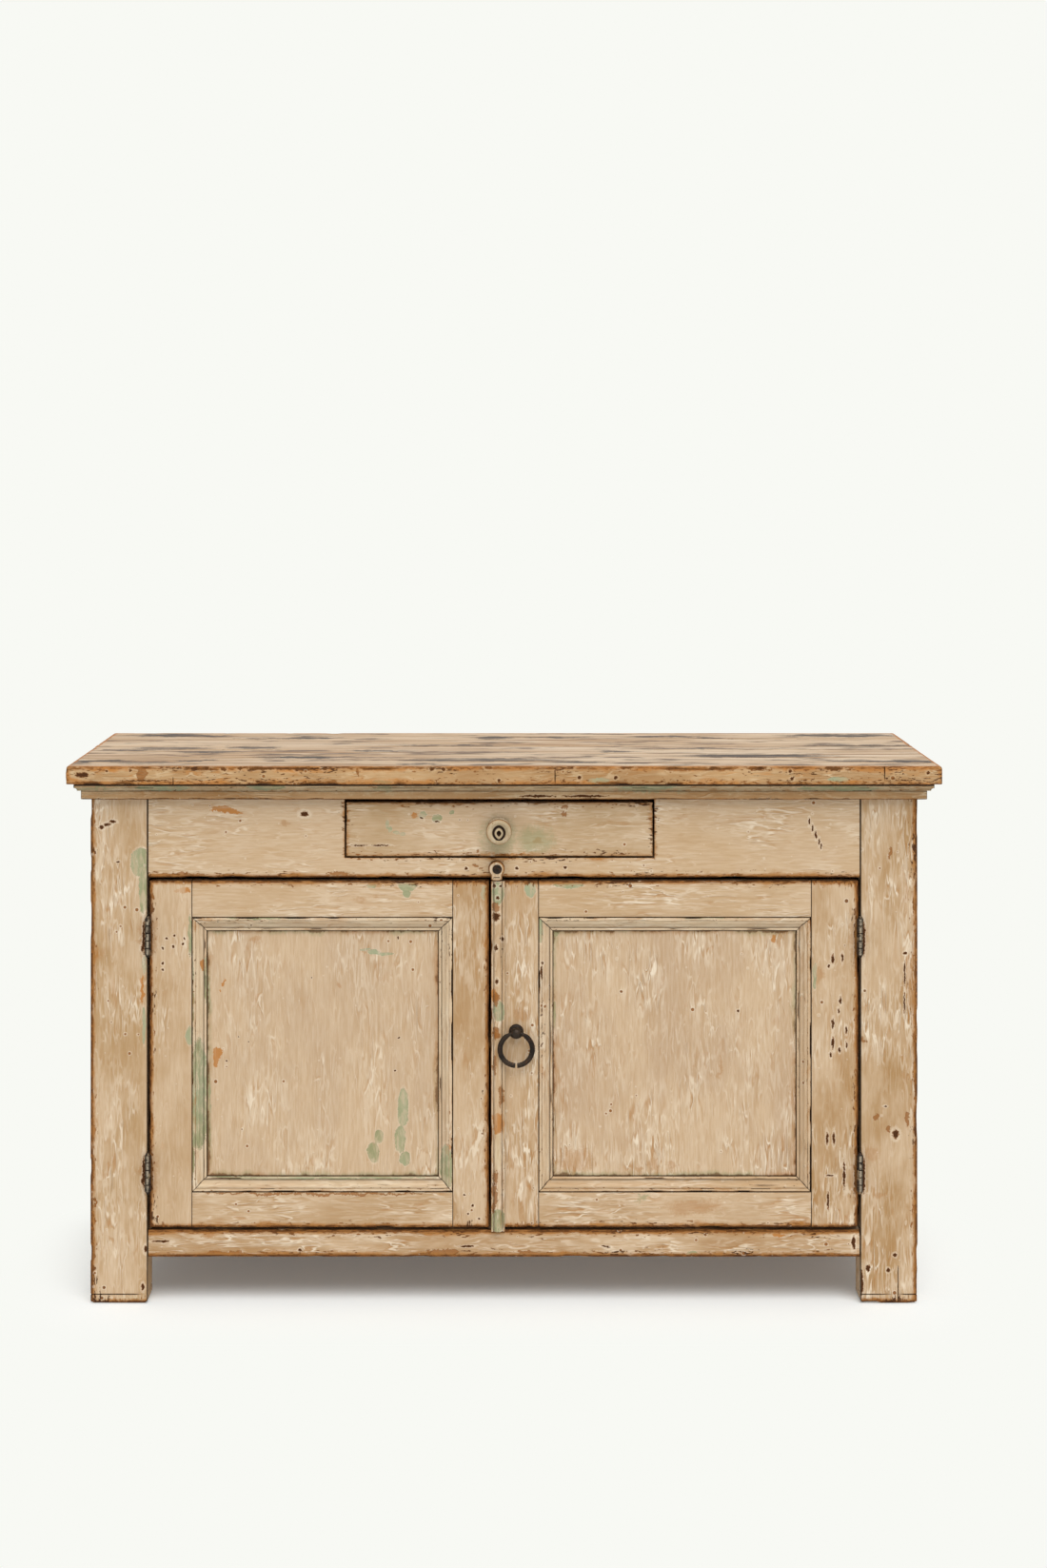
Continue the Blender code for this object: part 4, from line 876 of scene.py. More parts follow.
    def moulding_grime_and_shadow(self):
        """Grime and the painted shadow of the bead on a panel, along the inner edge of its moulding."""
        x_low, x_high, z_low, z_high = self.marks["frame"]
        x, y, z = self.split(self.place)
        across = self.smallest(self.minus(x, x_low), self.minus(x_high, x))
        upright = self.smallest(self.minus(z, z_low), self.minus(z_high, z))
        inside = self.plus(self.smallest(across, upright), self.unseen_sides())
        seam = self.ramp(inside, 0.0026, 0.0008, 0.0, 0.9)
        inside = self.plus(inside, self.times(self.minus(self.blotch, 0.5), 0.030))
        tint = self.mix(self.ramp(self.mottle, 0.4, 0.6), self.browned, OLIVE)
        # Grime and painted shadow of the bead along the panel's edge
        self.coat(self.ramp(inside, 0.010, 0.0, 0.0, 0.65), tint)
        self.coat(self.ramp(inside, 0.0035, 0.0, 0.0, 0.7), EDGE_BROWN)
        self.coat(seam, DIRT_AND_SHADE)

    def gap_shade(self):
        """Painted shade on the faces that look sideways, up or down just behind the front, not the outer
        sides, so the gaps read dark.
        """
        x, y, z = self.split(self.place)
        sunk = self.times(
            self.ramp(self.forward(), 0.30, 0.05), self.ramp(y, self.plane + 0.016, self.plane + 0.003)
        )
        sunk = self.times(sunk, self.ramp(self.maths("ABSOLUTE", x), *INSIDE_POSTS))
        # Painted shade in the gaps
        self.coat(sunk, DIRT_AND_SHADE, 0.9)

    def finished(self):
        height = self.total(
            (self.ridge, 0.42), (self.side, -0.25), (self.hollow, -0.20), (self.brush, 0.14),
            (self.streak, 0.22), (self.thin, -0.5), (self.hole, -0.4),
        )
        height = self.plus(height, self.total((self.rim, 0.25), (self.pit, -0.4)))
        if self.under is not None:
            height = self.plus(height, self.times(self.under, -0.35))
        roughness = self.total((self.streak, 0.16), (self.thin, 0.14), (self.brush, 0.06))
        return self.principled(self.plus(roughness, 0.50), height, BUMP, specular=0.15)


def paint_material(
    name, marks=None, low=TAN, high=CREAM, light=LIGHT, worn=1.0, browned=BROWNED, outline=1.0,
    plane=FRONT_PLANE,
):
    paint = Paint(name, marks or {}, plane, worn, light, browned)
    paint.strokes()
    paint.ground(low, high)
    paint.painted_marks()
    paint.edges(outline)
    paint.pits()
    if "frame" in paint.marks:
        paint.moulding_grime_and_shadow()
    # The dirt field holds grime in joints and cracks, and painted shade in creases, under the slab and in the
    # knob's hollows
    paint.coat(paint.ramp(paint.field("dirt_and_shade"), 0.1, 0.9), DIRT_AND_SHADE)
    paint.gap_shade()
    return paint.finished()


def top_material(name, stains):
    """Bare weathered pine with grey and black streaks."""
    g = Graph(bpy.data.materials.new(name))
    grain = g.field("grain", "Vector")
    x, y, z = g.split(g.object_place())
    flat = g.node("ShaderNodeCombineXYZ", {0: x, 2: y}).outputs[0]
    mottle = g.noise(grain, 12.0, 2.2, detail=4.0, rough=0.6)
    lines = g.noise(grain, 84.0, 3.0, detail=4.0, rough=0.62, bend=0.15)
    fine = g.noise(grain, 620.0, 12.0)
    black = g.noise(grain, 38.0, 8.0, detail=5.0, rough=0.64)
    dashes = g.noise(grain, 120.0, 9.0, detail=4.0, rough=0.6)
    rag = g.noise(grain, 110.0, 30.0, detail=4.0, rough=0.62)

    g.base = g.mix(g.ramp(mottle, 0.32, 0.66), TOP_TAN, TOP_PALE)
    g.coat(g.ramp(lines, 0.52, 0.62), TOP_GRAIN, 0.75)
    g.coat(g.ramp(lines, 0.46, 0.38), TOP_BLEACHED, 0.75)
    g.coat(g.ramp(black, 0.53, 0.63), TOP_GREYED, 0.85)
    g.coat(g.ramp(dashes, 0.60, 0.70), TOP_DASH, 0.75)
    stain = g.ramp(g.reach(flat, stains, ragged=1.2, wander=0.06, size=30.0, front=False), 1.5, 0.7)
    soak = g.ramp(g.total((black, 0.6), (lines, 0.4)), 0.32, 0.52)
    g.coat(g.times(stain, soak), TOP_STAIN, 0.95)
    rubbed = g.maths("POWER", g.field("wear"), 2.0)
    bare = g.total((rubbed, 0.8), (g.minus(rag, 0.5), 0.9), (g.field("chip"), 0.6))
    g.coat(g.ramp(bare, 0.30, 0.58), TOP_RUBBED, 0.9)
    g.coat(g.ramp(bare, 0.80, 1.0), DARK_WOOD, 0.85)
    g.coat(g.ramp(g.field("dirt_and_shade"), 0.1, 0.9), DIRT_AND_SHADE, 0.85)
    height = g.total((lines, -0.5), (fine, 0.25), (black, -0.4), (dashes, -0.3))
    roughness = g.plus(g.total((lines, 0.15), (fine, 0.08)), 0.52)
    return g.principled(roughness, height, BUMP)


def inside_material(name, axis):
    """Unpainted old pine, grain along one axis, for the pieces that stay as the CAD has them."""
    g = Graph(bpy.data.materials.new(name))
    split = g.split(g.object_place())
    order = ((axis + 1) % 3, (axis + 2) % 3, axis)
    grain = g.node("ShaderNodeCombineXYZ", {k: split[source] for k, source in enumerate(order)}).outputs[0]
    mottle = g.noise(grain, 9.0, 2.0, detail=4.0, rough=0.6)
    rings = g.noise(grain, 95.0, 2.6, detail=3.0, bend=0.4)
    fine = g.noise(grain, 520.0, 16.0)
    stain = g.noise(grain, 5.0, 3.0, detail=5.0, rough=0.65)
    cells = {"Vector": g.vector("MULTIPLY", grain, (7.0, 7.0, 2.4)), "Scale": 1.0}
    knots = g.node("ShaderNodeTexVoronoi", cells).outputs["Distance"]

    g.base = g.mix(g.ramp(mottle, 0.32, 0.66), PINE_TAN, PINE_PALE)
    g.coat(g.ramp(rings, 0.55, 0.68), PINE_RING, 0.5)
    g.coat(g.ramp(fine, 0.58, 0.40), PINE_FIBRE, 0.2)
    g.coat(g.ramp(stain, 0.58, 0.76), PINE_STAIN, 0.45)
    g.coat(g.ramp(knots, 0.13, 0.05), PINE_KNOT, 0.8)
    height = g.total((rings, -0.4), (fine, 0.3))
    roughness = g.plus(g.total((rings, 0.12), (fine, 0.1)), 0.6)
    return g.principled(roughness, height, 0.0007)


def iron_material(name, specks=0.0):
    """Blackened iron with rust, and on the hinges specks of the cream paint, and a pale band where they face
    forward: rubbed metal and a painted highlight.
    """
    g = Graph(bpy.data.materials.new(name))
    place = g.object_place()
    rust = g.noise(place, 160.0, 160.0, detail=5.0, rough=0.7)
    pits = g.noise(place, 700.0, 700.0, detail=3.0)
    broad = g.noise(place, 45.0, 45.0, detail=3.0)
    speck = g.times(g.ramp(g.noise(place, 210.0, 90.0, detail=4.0, rough=0.6), 0.57, 0.64), specks)

    g.base = g.mix(g.ramp(broad, 0.35, 0.65), IRON_BLACK, IRON_GREY)
    g.coat(g.ramp(rust, 0.52, 0.72), RUST, 0.75)
    g.coat(speck, PAINT_SPECK)
    if specks:
        # Rubbed metal and a painted highlight where the hinge faces forward
        rubbed = g.times(g.ramp(g.forward(), 0.93, 0.995), g.ramp(rust, 0.36, 0.56))
        g.coat(rubbed, RUBBED_IRON_AND_HIGHLIGHT, 0.75)
    roughness = g.plus(g.total((rust, 0.3), (pits, 0.12)), 0.24)
    height = g.total((rust, 0.5), (pits, 0.35), (speck, 0.6))
    return g.principled(roughness, height, 0.0005, metallic=0.7, specular=0.5)


# Marks on the front, listed from the photograph: column, row, half width and half height in its pixels
MARKS = {
    "post_front_left": {
        "green": [(147, 906, 9.5, 15), (151, 930, 5, 29), (152, 1014, 2, 9), (151.5, 1077, 2, 20)],
        "tan": [(150.5, 1040, 2, 15)],
        "deep": [(151, 984, 5, 20), (151, 1231, 5, 20)],
        "bare": [(97, 900, 2, 8), (97, 1040, 2, 14), (97, 1190, 2.5, 10), (97, 1280, 2, 8),
                 (97, 963, 3, 5)],
        "dark": [(118.5, 863, 4, 1.8), (112.5, 866, 4, 1.8), (107, 869, 3, 2), (124, 905, 2, 1.2),
                 (151, 984, 1.5, 18), (149.5, 996, 1.6, 4), (151, 1231, 1.5, 18), (149.5, 1240, 1.6, 4),
                 (153, 1312, 2, 4), (150, 1352, 2, 4)],
        "pale": [(125, 1365, 28, 3)],
    },
    "post_front_right": {
        "deep": [(956, 1036, 5, 33), (915, 1213, 9, 8), (925, 1255, 8, 3), (907, 986, 4, 22),
                 (907, 1235, 4, 22)],
        "bare": [(935, 896, 2, 6), (907, 1092, 3, 3), (962, 1120, 2, 14), (962, 1210, 2, 20),
                 (920, 1174, 3, 3),
                 (933, 1185, 1.5, 4), (962, 1275, 2, 10), (953, 1176, 3, 7)],
        "dark": [(960, 950, 1.5, 8), (951, 1001, 2, 2), (950.5, 1022, 0.8, 14), (950, 1053, 0.8, 12),
                 (961.5, 1022, 1.5, 7),
                 (961.5, 1068, 1.5, 4), (941, 1191, 3.5, 5), (930, 1162, 2, 1.2), (912, 1332, 2, 4),
                 (940, 1318, 2, 2), (933, 1334, 2, 2.5), (905, 1347, 2, 14),
                 (907.5, 986, 1.5, 19), (907.5, 1235, 1.5, 19)],
    },
    "frieze_board": {
        "tan": [(236, 850.5, 14, 2.6), (247, 853, 8, 1.6)],
        "deep": [(299, 866, 4, 4.5)],
        "bare": [(186, 919, 30, 2), (499, 909, 3, 1.5), (505, 912, 3, 1.2), (355, 918, 12, 2)],
        "dark": [(320, 855, 4.5, 3), (490, 912, 1.6, 1.6), (543, 912, 1.6, 1.6), (594, 911.5, 1.6, 1.6),
                 (850, 863, 1.0, 4), (853.5, 870, 1.0, 4), (857, 877, 1.0, 4), (860.5, 884, 1.0, 4),
                 (863, 889, 0.8, 3)],
    },
    "drawer_front": {
        "green": [(444, 856, 3.5, 4), (459, 860, 5, 4), (475, 853.5, 3, 2), (407, 866, 1.6, 4),
                  (410, 871, 2, 3),
                  (416, 875, 4, 1.6), (423, 876, 3, 2)],
        "olive": [(562, 882, 18, 14), (524, 878, 18, 18)],
        "tan": [(566, 884, 5, 4), (530, 898, 30, 1.6), (435, 856, 3, 2.5)],
        "bare": [(500, 895, 2, 1.5), (593, 848, 4, 2), (592, 855, 2, 3)],
        "dark": [(378, 888, 9, 0.7), (400, 888, 10, 0.7), (443, 859, 2, 1), (459, 863, 3, 1)],
    },
    "bottom_rail_front": {
        "green": [(820, 1293.5, 78, 1.6), (727, 1318, 6, 4)],
        "tan": [(820, 1298, 7, 2)],
        "bare": [(465, 1316, 18, 4), (240, 1317, 25, 2), (560, 1316, 20, 2)],
        "dark": [(169, 1304, 10, 1.2), (315, 1313, 2, 1.5), (490, 1309, 8, 1), (636, 1309, 5, 1),
                 (680, 1318, 14, 1.5),
                 (708, 1318, 12, 1.5), (746, 1319, 3, 2), (770, 1319, 3, 2), (897, 1305, 2, 8)],
    },
    "left_door_top_rail": {"green": [(428, 931, 10, 5), (427, 938, 4, 5), (390, 930, 5, 3)]},
    "left_door_bottom_rail": {"bare": [(330, 1254, 120, 1.2)]},
    "left_door_hinge_stile": {
        "green": [(200, 983, 1.8, 22), (199, 1088, 4, 10)],
        "deep": [(161, 984, 4, 20), (161, 1231, 4, 20)],
        "tan": [(192, 935, 8, 3)],
        "dark": [(159, 984, 1.4, 18), (159, 1231, 1.4, 18), (175, 986, 1.4, 1.4), (183, 983, 1.4, 1.4),
                 (194, 986, 1.4, 1.4), (182, 994, 1.4, 1.4),
                 (171, 996, 1.4, 1.4), (192, 991, 1.4, 1.4), (171, 1012, 1.4, 1.4),
                 (171, 1018, 1.4, 1.4)],
    },
    "left_door_left_moulding": {
        "green": [(208.5, 1138, 9, 46), (208.5, 1172, 9, 36), (202, 1215, 2, 22), (201, 1050, 2.6, 48),
                  (215.5, 1030, 1.8, 25)],
        "tan": [(212, 1015, 2, 6)],
    },
    "left_door_top_moulding": {"green": [(280, 964, 43, 1.6)]},
    "right_door_top_moulding": {"green": [(735, 963.5, 48, 1.4)]},
    "left_door_bottom_moulding": {"green": [(365, 1237, 95, 3.0), (290, 1238, 70, 2.4)]},
    "left_door_right_moulding": {"green": [(469, 1226, 7, 23)], "tan": [(470, 1209, 3, 6)]},
    "left_door_panel": {
        "frame": (-0.5012, -0.1097, 0.2107, 0.6258),
        "green": [(218, 1045, 1.8, 20), (218, 1165, 1.8, 45), (383, 998.5, 6, 1.4),
                  (392, 1001.5, 6, 2.4), (404, 1003.5, 9, 1.6), (398, 1196, 5, 7),
                  (392, 1212, 6, 11), (423, 1165, 6, 20), (420, 1198, 6, 14), (425, 1219, 6, 8)],
        "tan": [(227.4, 1108, 4.5, 6), (226, 1116, 2.5, 7), (233.6, 1034, 1.5, 3.5),
                (230.8, 1042, 1, 1.5)],
        "deep": [(268, 988, 6, 4), (355, 1037, 4, 3)],
        "dark": [(250, 1091, 0.8, 0.8), (261, 1096, 0.8, 0.8), (237, 1116, 0.9, 0.9),
                 (418, 987, 0.8, 1.6),
                 (418.7, 1092, 1.2, 1.0), (415, 1126.5, 1.2, 1.0), (327, 1028.7, 1.1, 0.6)],
    },
    "left_door_meeting_stile": {
        "green": [(510, 938, 5, 8)],
        "dark": [(488, 1255, 1.4, 1.4), (497, 1266, 1.4, 1.4), (503, 1280, 1.4, 1.4),
                 (492, 1275, 1.4, 1.4)],
    },
    "cover_strip": {
        "green": [(523, 938, 6, 12), (524, 1062, 6, 11), (523, 1281, 8, 12)],
        "pale": [(523, 1208, 4, 19)],
        "tan": [(519, 1045, 3.5, 6), (522, 1087, 4, 5), (523, 1179, 6, 11)],
        "bare": [(520, 1252, 3, 23), (520, 1120, 2, 12), (527, 1150, 2, 12), (521, 952, 4, 5),
                 (521, 1048, 3, 7),
                 (521, 1085, 3.5, 8)],
        "dark": [(519, 930, 2, 2), (526, 930, 2, 1.5), (523, 942, 2, 2), (521, 962, 4, 5),
                 (528, 986, 1.5, 2.5),
                 (521, 995, 2, 3), (522, 1030, 2, 3)],
    },
    "right_door_meeting_stile": {"green": [(557, 934, 6, 9)], "deep": [(549, 1066, 8, 8)]},
    "right_door_top_rail": {"green": [(598, 930, 16, 3)]},
    "right_door_bottom_rail": {"olive": [(675, 1258, 5, 4)], "deep": [(728, 1268, 30, 8)]},
    "right_door_left_moulding": {
        "green": [(567.5, 977, 3.6, 13)],
        "dark": [(569, 1022, 1.2, 8), (570, 1012, 1.5, 1.5)],
    },
    "right_door_panel": {
        "frame": (0.0817, 0.4932, 0.2107, 0.6258),
        "green": [(583, 979, 5, 6), (582, 1068, 2.5, 14)],
        "deep": [(605, 1221, 18, 13), (673, 1229, 4, 3), (687, 1225, 7, 5), (707, 1226, 6, 5),
                 (757, 1122, 2, 14)],
        "tan": [(814, 987, 2, 5)],
        "dark": [(776, 1064, 1.3, 1.6)],
    },
    "right_door_hinge_stile": {
        "green": [(856, 1025, 2, 14)],
        "deep": [(897, 986, 4, 22), (897, 1235, 4, 22), (861, 1024, 5, 10)],
        "dark": [(899, 986, 1.5, 19), (899, 1235, 1.5, 19), (875, 1007, 1.4, 6), (885, 1006, 1.4, 5),
                 (871, 1015, 1.4, 2), (883, 1051, 1.2, 4),
                 (881, 1062, 1.2, 3), (875, 1076, 1.4, 6), (875, 1095, 1.4, 7), (889, 1082, 1.4, 4),
                 (889, 1098, 1.2, 4), (882, 1103, 1.4, 3), (873, 1108, 1.2, 3), (869, 1196, 1.4, 7),
                 (876, 1196, 1.4, 7), (872, 1235, 4, 1.2), (870, 1261, 1.3, 11), (887, 1234, 1.3, 15)],
    },
    "cornice_front": {
        "green": [(172, 828, 30, 3), (280, 827, 21, 3), (882, 828, 45, 3), (680, 827, 30, 2)],
        "olive": [(100, 828, 22, 3), (401, 828, 11, 3), (680, 829, 37, 3)],
        # Painted light along the upper band, which lies in the slab's shadow, as well as paler paint
        "pale": [(300, 828, 260, 2.4), (780, 828, 240, 2.4)],
        "deep": [(166, 834, 33, 4), (300, 837, 230, 5), (780, 837, 200, 5)],
        "dark": [(565, 837, 20, 1.2), (615, 837, 26, 1.2)],
    },
    "slab": {
        "green": [(401, 822, 11, 2), (628, 820, 12, 2.5), (881, 819, 12, 2.5)],
        "pale": [(357, 806, 2, 1.5)],
        "bare": [(149, 813, 5, 7), (376, 811, 1.5, 4.5)],
        "dark": [(86, 814, 8, 3), (112, 810, 1.6, 1.6), (137, 809, 1.6, 1.6), (152, 820, 29, 0.8),
                 (217, 807, 3, 2),
                 (235, 808, 3, 2), (252, 807, 3, 2), (275, 807, 16, 2), (312, 808, 3, 2),
                 (341, 807, 3, 2),
                 (419, 805, 4, 1.5), (454, 808, 3, 2), (466, 808, 2, 2), (513, 806, 4, 2),
                 (524, 820, 2, 2),
                 (600, 805, 4, 2), (609, 817, 2, 2), (647, 817, 2, 2), (658, 806, 7, 2), (703, 808, 3, 2),
                 (750, 807, 5, 2), (795, 807, 10, 2), (830, 810, 2, 2), (832, 818, 2, 2),
                 (875, 807, 10, 3),
                 (975, 812, 2, 2)],
    },
}

# Ground colour of the boards that differ from the rest, and how heavily they are worn
TANNED = {
    "post_front_left": (colour(186, 152, 110), 1.5),
    "post_front_right": (colour(178, 141, 96), 1.4),
    "right_door_hinge_stile": (colour(178, 140, 95), 1.4),
    "right_door_meeting_stile": (colour(195, 162, 124), 1.2),
    "left_door_hinge_stile": (colour(194, 162, 124), 1.2),
    "left_door_meeting_stile": (colour(184, 148, 106), 1.3),
    "bottom_rail_front": (colour(182, 146, 106), 1.5),
    "drawer_front": (colour(188, 158, 119), 0.75),
    "right_door_bottom_rail": (colour(188, 155, 117), 1.2),
    "left_door_bottom_rail": (colour(192, 160, 122), 1.2),
    "frieze_board": (colour(207, 177, 140), 1.2),
    "left_door_panel": (colour(203, 176, 145), 0.8),
    "right_door_panel": (colour(200, 172, 141), 0.8),
}

# Dark streaks on the top: x, y, half length and half width
STAINS = [
    (-0.62, 0.209, 0.06, 0.022), (-0.554, 0.199, 0.04, 0.012), (-0.42, 0.157, 0.05, 0.010),
    (-0.356, 0.168, 0.05, 0.012),
    (-0.592, 0.008, 0.06, 0.016), (-0.662, -0.019, 0.05, 0.010), (-0.511, -0.048, 0.05, 0.012),
    (-0.443, 0.019, 0.04, 0.016),
    (-0.69, -0.175, 0.05, 0.016), (-0.606, -0.20, 0.05, 0.014), (-0.522, -0.171, 0.03, 0.008),
    (-0.351, -0.126, 0.07, 0.014),
    (0.619, 0.209, 0.09, 0.022), (0.642, 0.048, 0.11, 0.012), (0.333, 0.005, 0.05, 0.008),
    (0.43, -0.105, 0.11, 0.022),
    (0.376, 0.168, 0.03, 0.010), (0.60, -0.174, 0.05, 0.014), (0.69, -0.18, 0.06, 0.016),
    (-0.10, 0.05, 0.09, 0.010),
    (-0.03, -0.16, 0.12, 0.020), (0.20, -0.04, 0.03, 0.010), (-0.02, 0.17, 0.03, 0.02),
    (0.10, 0.175, 0.05, 0.012),
    (0.12, -0.19, 0.05, 0.012), (-0.22, -0.03, 0.05, 0.008), (-0.14, -0.215, 0.03, 0.010),
    (0.30, 0.19, 0.05, 0.010),
]


def mix_paints():
    """The paint of each node that has marks or colours of its own, and a plain one for the rest."""
    paints = {"plain": paint_material("painted pine")}
    for node in (*MARKS, "cornice_left", "cornice_right"):
        name = "painted " + node.replace("_", " ")
        marks = MARKS.get(node)
        if node.startswith("cornice"):
            paints[node] = paint_material(name, marks, *CORNICE_COLOURS, plane=CORNICE_PLANE)
        elif node == "slab":
            paints[node] = paint_material(
                "worn slab edge", marks, *SLAB_COLOURS, 0.9, SLAB_BROWNED, outline=0.2, plane=SLAB_PLANE
            )
        elif "moulding" in node:
            paints[node] = paint_material(name, marks, CREAM, BRIGHT)
        else:
            low, worn = TANNED.get(node, (TAN, 1.0))
            outline = 0.25 if node == "drawer_front" else 1.0
            paints[node] = paint_material(name, marks, low, worn=worn, outline=outline)
    return paints


def paint_of(node):
    return PAINTS.get(node, PAINTS["plain"])


# Boards


def crack_above(flat, outward):
    """A crack along the top, open in some places and shut in others."""
    strength = ramp(lattice_noise(flat, (0.16, 1.0, 1.0), 5), 0.25, 0.6)
    return np.where(outward[:, 2] > 0.9, strength, 0.0)


def crack_round_foot(flat, outward):
    return np.where(np.abs(outward[:, 2]) < 0.5, ramp(lattice_noise(flat, 0.03, 3), 0.15, 0.4), 0.0)


def split_between(low_z, high_z):
    """A test for a split on the front, between two heights."""
    def test(flat, outward):
        inside = (flat[:, 2] > low_z) & (flat[:, 2] < high_z) & (outward[:, 1] < -0.5)
        return np.where(inside, 1.0, 0.0)
    return test


def build_top():
    """Two boards, bare above, with old paint on their edges."""
    bare_top = top_material("weathered top", STAINS)
    boards = (("front", 11, 0.006, 1.9, (1, 1)), ("rear", 12, 0.009, 1.0, (1, 0)))
    for place, seed, step, chips, joint in boards:
        grooves = [(1, y, CRACK_HALF, depth, crack_above) for y, depth in TOP_CRACKS[place]]
        for x, depth, low_z, high_z in TOP_SPLITS[place]:
            grooves.append((0, x, SPLIT_HALF, depth, split_between(low_z, high_z)))
        board = worn_board(
            "top_board_" + place, 0, seed, "bare_pine", step=step, radii=np.array(TOP_ROUNDING[place]),
            grooves=grooves, chips=chips, rubbed=0.2, joints=(joint,), paints=(bare_top, PAINTS["slab"]),
        )
        for polygon in board.data.polygons:
            polygon.material_index = 0 if polygon.normal.z > TOP_LOOKS_UP else 1


def build_posts():
    """The front feet have a crack just above the floor, and the rear posts a rebate for the back."""
    back_low, back_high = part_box("back_boards")
    rebate = (np.array(back_low) - FIT, np.array(back_high) + np.array([FIT, 0.01, 0.01]))
    for side, seed, inner, relief in (("left", 21, 1, 0.9), ("right", 22, 0, 1.0)):
        grooves = [(2, *FOOT_CRACK, crack_round_foot)]
        if side == "right":
            grooves.append((0, *FOOT_SPLIT, split_between(-1.0, FOOT_SPLIT_TOP)))
        worn_board(
            "post_front_" + side, 2, seed, step=0.006, grooves=grooves, chips=1.3, rubbed=0.22, relief=relief,
            joints=((0, inner),), foot=0.005, joint_radius=POST_JOINT_RADIUS,
        )
        worn_board("post_rear_" + side, 2, seed + 2, step=0.010, radius=0.003, cut=rebate)


def build_front_and_sides():
    """Frieze with its drawer window, bottom rail, and the framed sides."""
    drawer_low, drawer_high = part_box("drawer_front")
    window = (
        np.array([drawer_low[0] - DRAWER_GAP, -1.0, drawer_low[2] - DRAWER_GAP]),
        np.array([drawer_high[0] + DRAWER_GAP, 1.0, drawer_high[2] + DRAWER_GAP_ABOVE]),
    )
    between_posts = {"trim": (TENON_LENGTH, 0, 0), "joints": BOTH_ENDS, "joint_radius": POST_JOINT_RADIUS}
    worn_board("frieze_board", 0, 31, cut=window, step=0.0065, relief=0.8, rubbed=0.08, **between_posts)
    worn_board("bottom_rail_front", 0, 32, chips=1.5, step=0.006, rubbed=0.18, **between_posts)
    for number, side in enumerate(("left", "right")):
        for place in ("top", "bottom"):
            node = "side_rail_%s_%s" % (place, side)
            worn_board(node, 1, 41 + number, trim=(0, TENON_LENGTH, 0), step=0.010)
        worn_board("side_panel_" + side, 2, 45 + number, step=0.012)


def build_doors():
    """Framed doors, and the drawer front."""
    for door, number, relief in (("left", 51, 0.75), ("right", 61, 1.0)):
        framing = {"relief": relief, "radius": 0.0016, "rubbed": 0.10}
        for k, part in enumerate(("hinge_stile", "meeting_stile")):
            inner = 1 if (door == "left") == (part == "hinge_stile") else 0
            worn_board("%s_door_%s" % (door, part), 2, number + k, joints=((0, inner),), **framing)
        for k, part in enumerate(("top_rail", "bottom_rail")):
            worn_board(
                "%s_door_%s" % (door, part), 0, number + 2 + k, trim=(DOOR_TENON_LENGTH, 0, 0),
                joints=(*BOTH_ENDS, (2, k)), **framing,
            )
        worn_board(door + "_door_panel", 2, number + 4, relief=relief * 1.1, step=0.008)
    worn_board("drawer_front", 0, 71, step=0.006, relief=0.8)


# Mouldings, on the same profiles as the CAD's


def build_cornice():
    low = CORNICE_LOWER_HEIGHT
    top = CORNICE_HEIGHT - FIT
    out = CORNICE_LOWER_OUT
    profile = [(FIT, 0.0), (out - EASE, 0.0), (out, EASE), (out, low)]
    profile += arc(CORNICE_UPPER_OUT, low, CORNICE_COVE, CORNICE_COVE, 180, 90, 4)
    profile += [(CORNICE_UPPER_OUT, top), (FIT, top)]
    left_x, front_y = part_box("post_front_left")[0][:2]
    right_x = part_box("post_front_right")[1][0]
    back_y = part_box("post_rear_left")[1][1]
    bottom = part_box("cornice_front")[0][2]
    # The cornice's top band gets joint grime and painted shadow from the slab, and its creases grime and
    # painted shade
    look = {"rubbed": 0.5, "grime_and_shadow_above": CORNICE_HEIGHT - CORNICE_GRIME_AND_SHADOW, "crease_grime_and_shade": 0.95}
    worn_stick(
        "cornice_front", profile, (left_x + FIT / 2, front_y, bottom), (1, 0, 0), (0, -1, 0), UP,
        right_x - left_x - FIT, (-1.0, 1.0), 81, chips=1.5, **look,
    )
    for side, edge_x, way in (("left", left_x, -1), ("right", right_x, 1)):
        worn_stick(
            "cornice_" + side, profile, (edge_x, front_y + FIT, bottom), (0, 1, 0), (way, 0, 0), UP,
            back_y - front_y - FIT, (-1.0, 0.0), 82 + way, **look,
        )


def moulding_profile():
    """A fillet, an S-shaped slope and a bead, from the outer edge in."""
    step = MOULDING_HEIGHT - MOULDING_STEP
    bead = MOULDING_BEAD
    slope_end = MOULDING_WIDTH - 2 * bead - MOULDING_QUIRK
    middle = (MOULDING_FILLET + slope_end) / 2
    level = (step + bead) / 2
    profile = [(FIT, FIT), (FIT, MOULDING_HEIGHT - MOULDING_QUIRK), (FIT + MOULDING_QUIRK, MOULDING_HEIGHT)]
    profile += [(MOULDING_FILLET, MOULDING_HEIGHT)]
    profile += arc(MOULDING_FILLET, level, middle - MOULDING_FILLET, step - level, 90, 0, 4)
    profile += arc(slope_end, level, slope_end - middle, level - bead, 180, 270, 4)[1:]
    profile += [(slope_end + MOULDING_QUIRK, bead)]
    profile += arc(MOULDING_WIDTH - bead, bead, bead, bead, 180, 0, 6)[1:]
    return profile + [(MOULDING_WIDTH, FIT)]


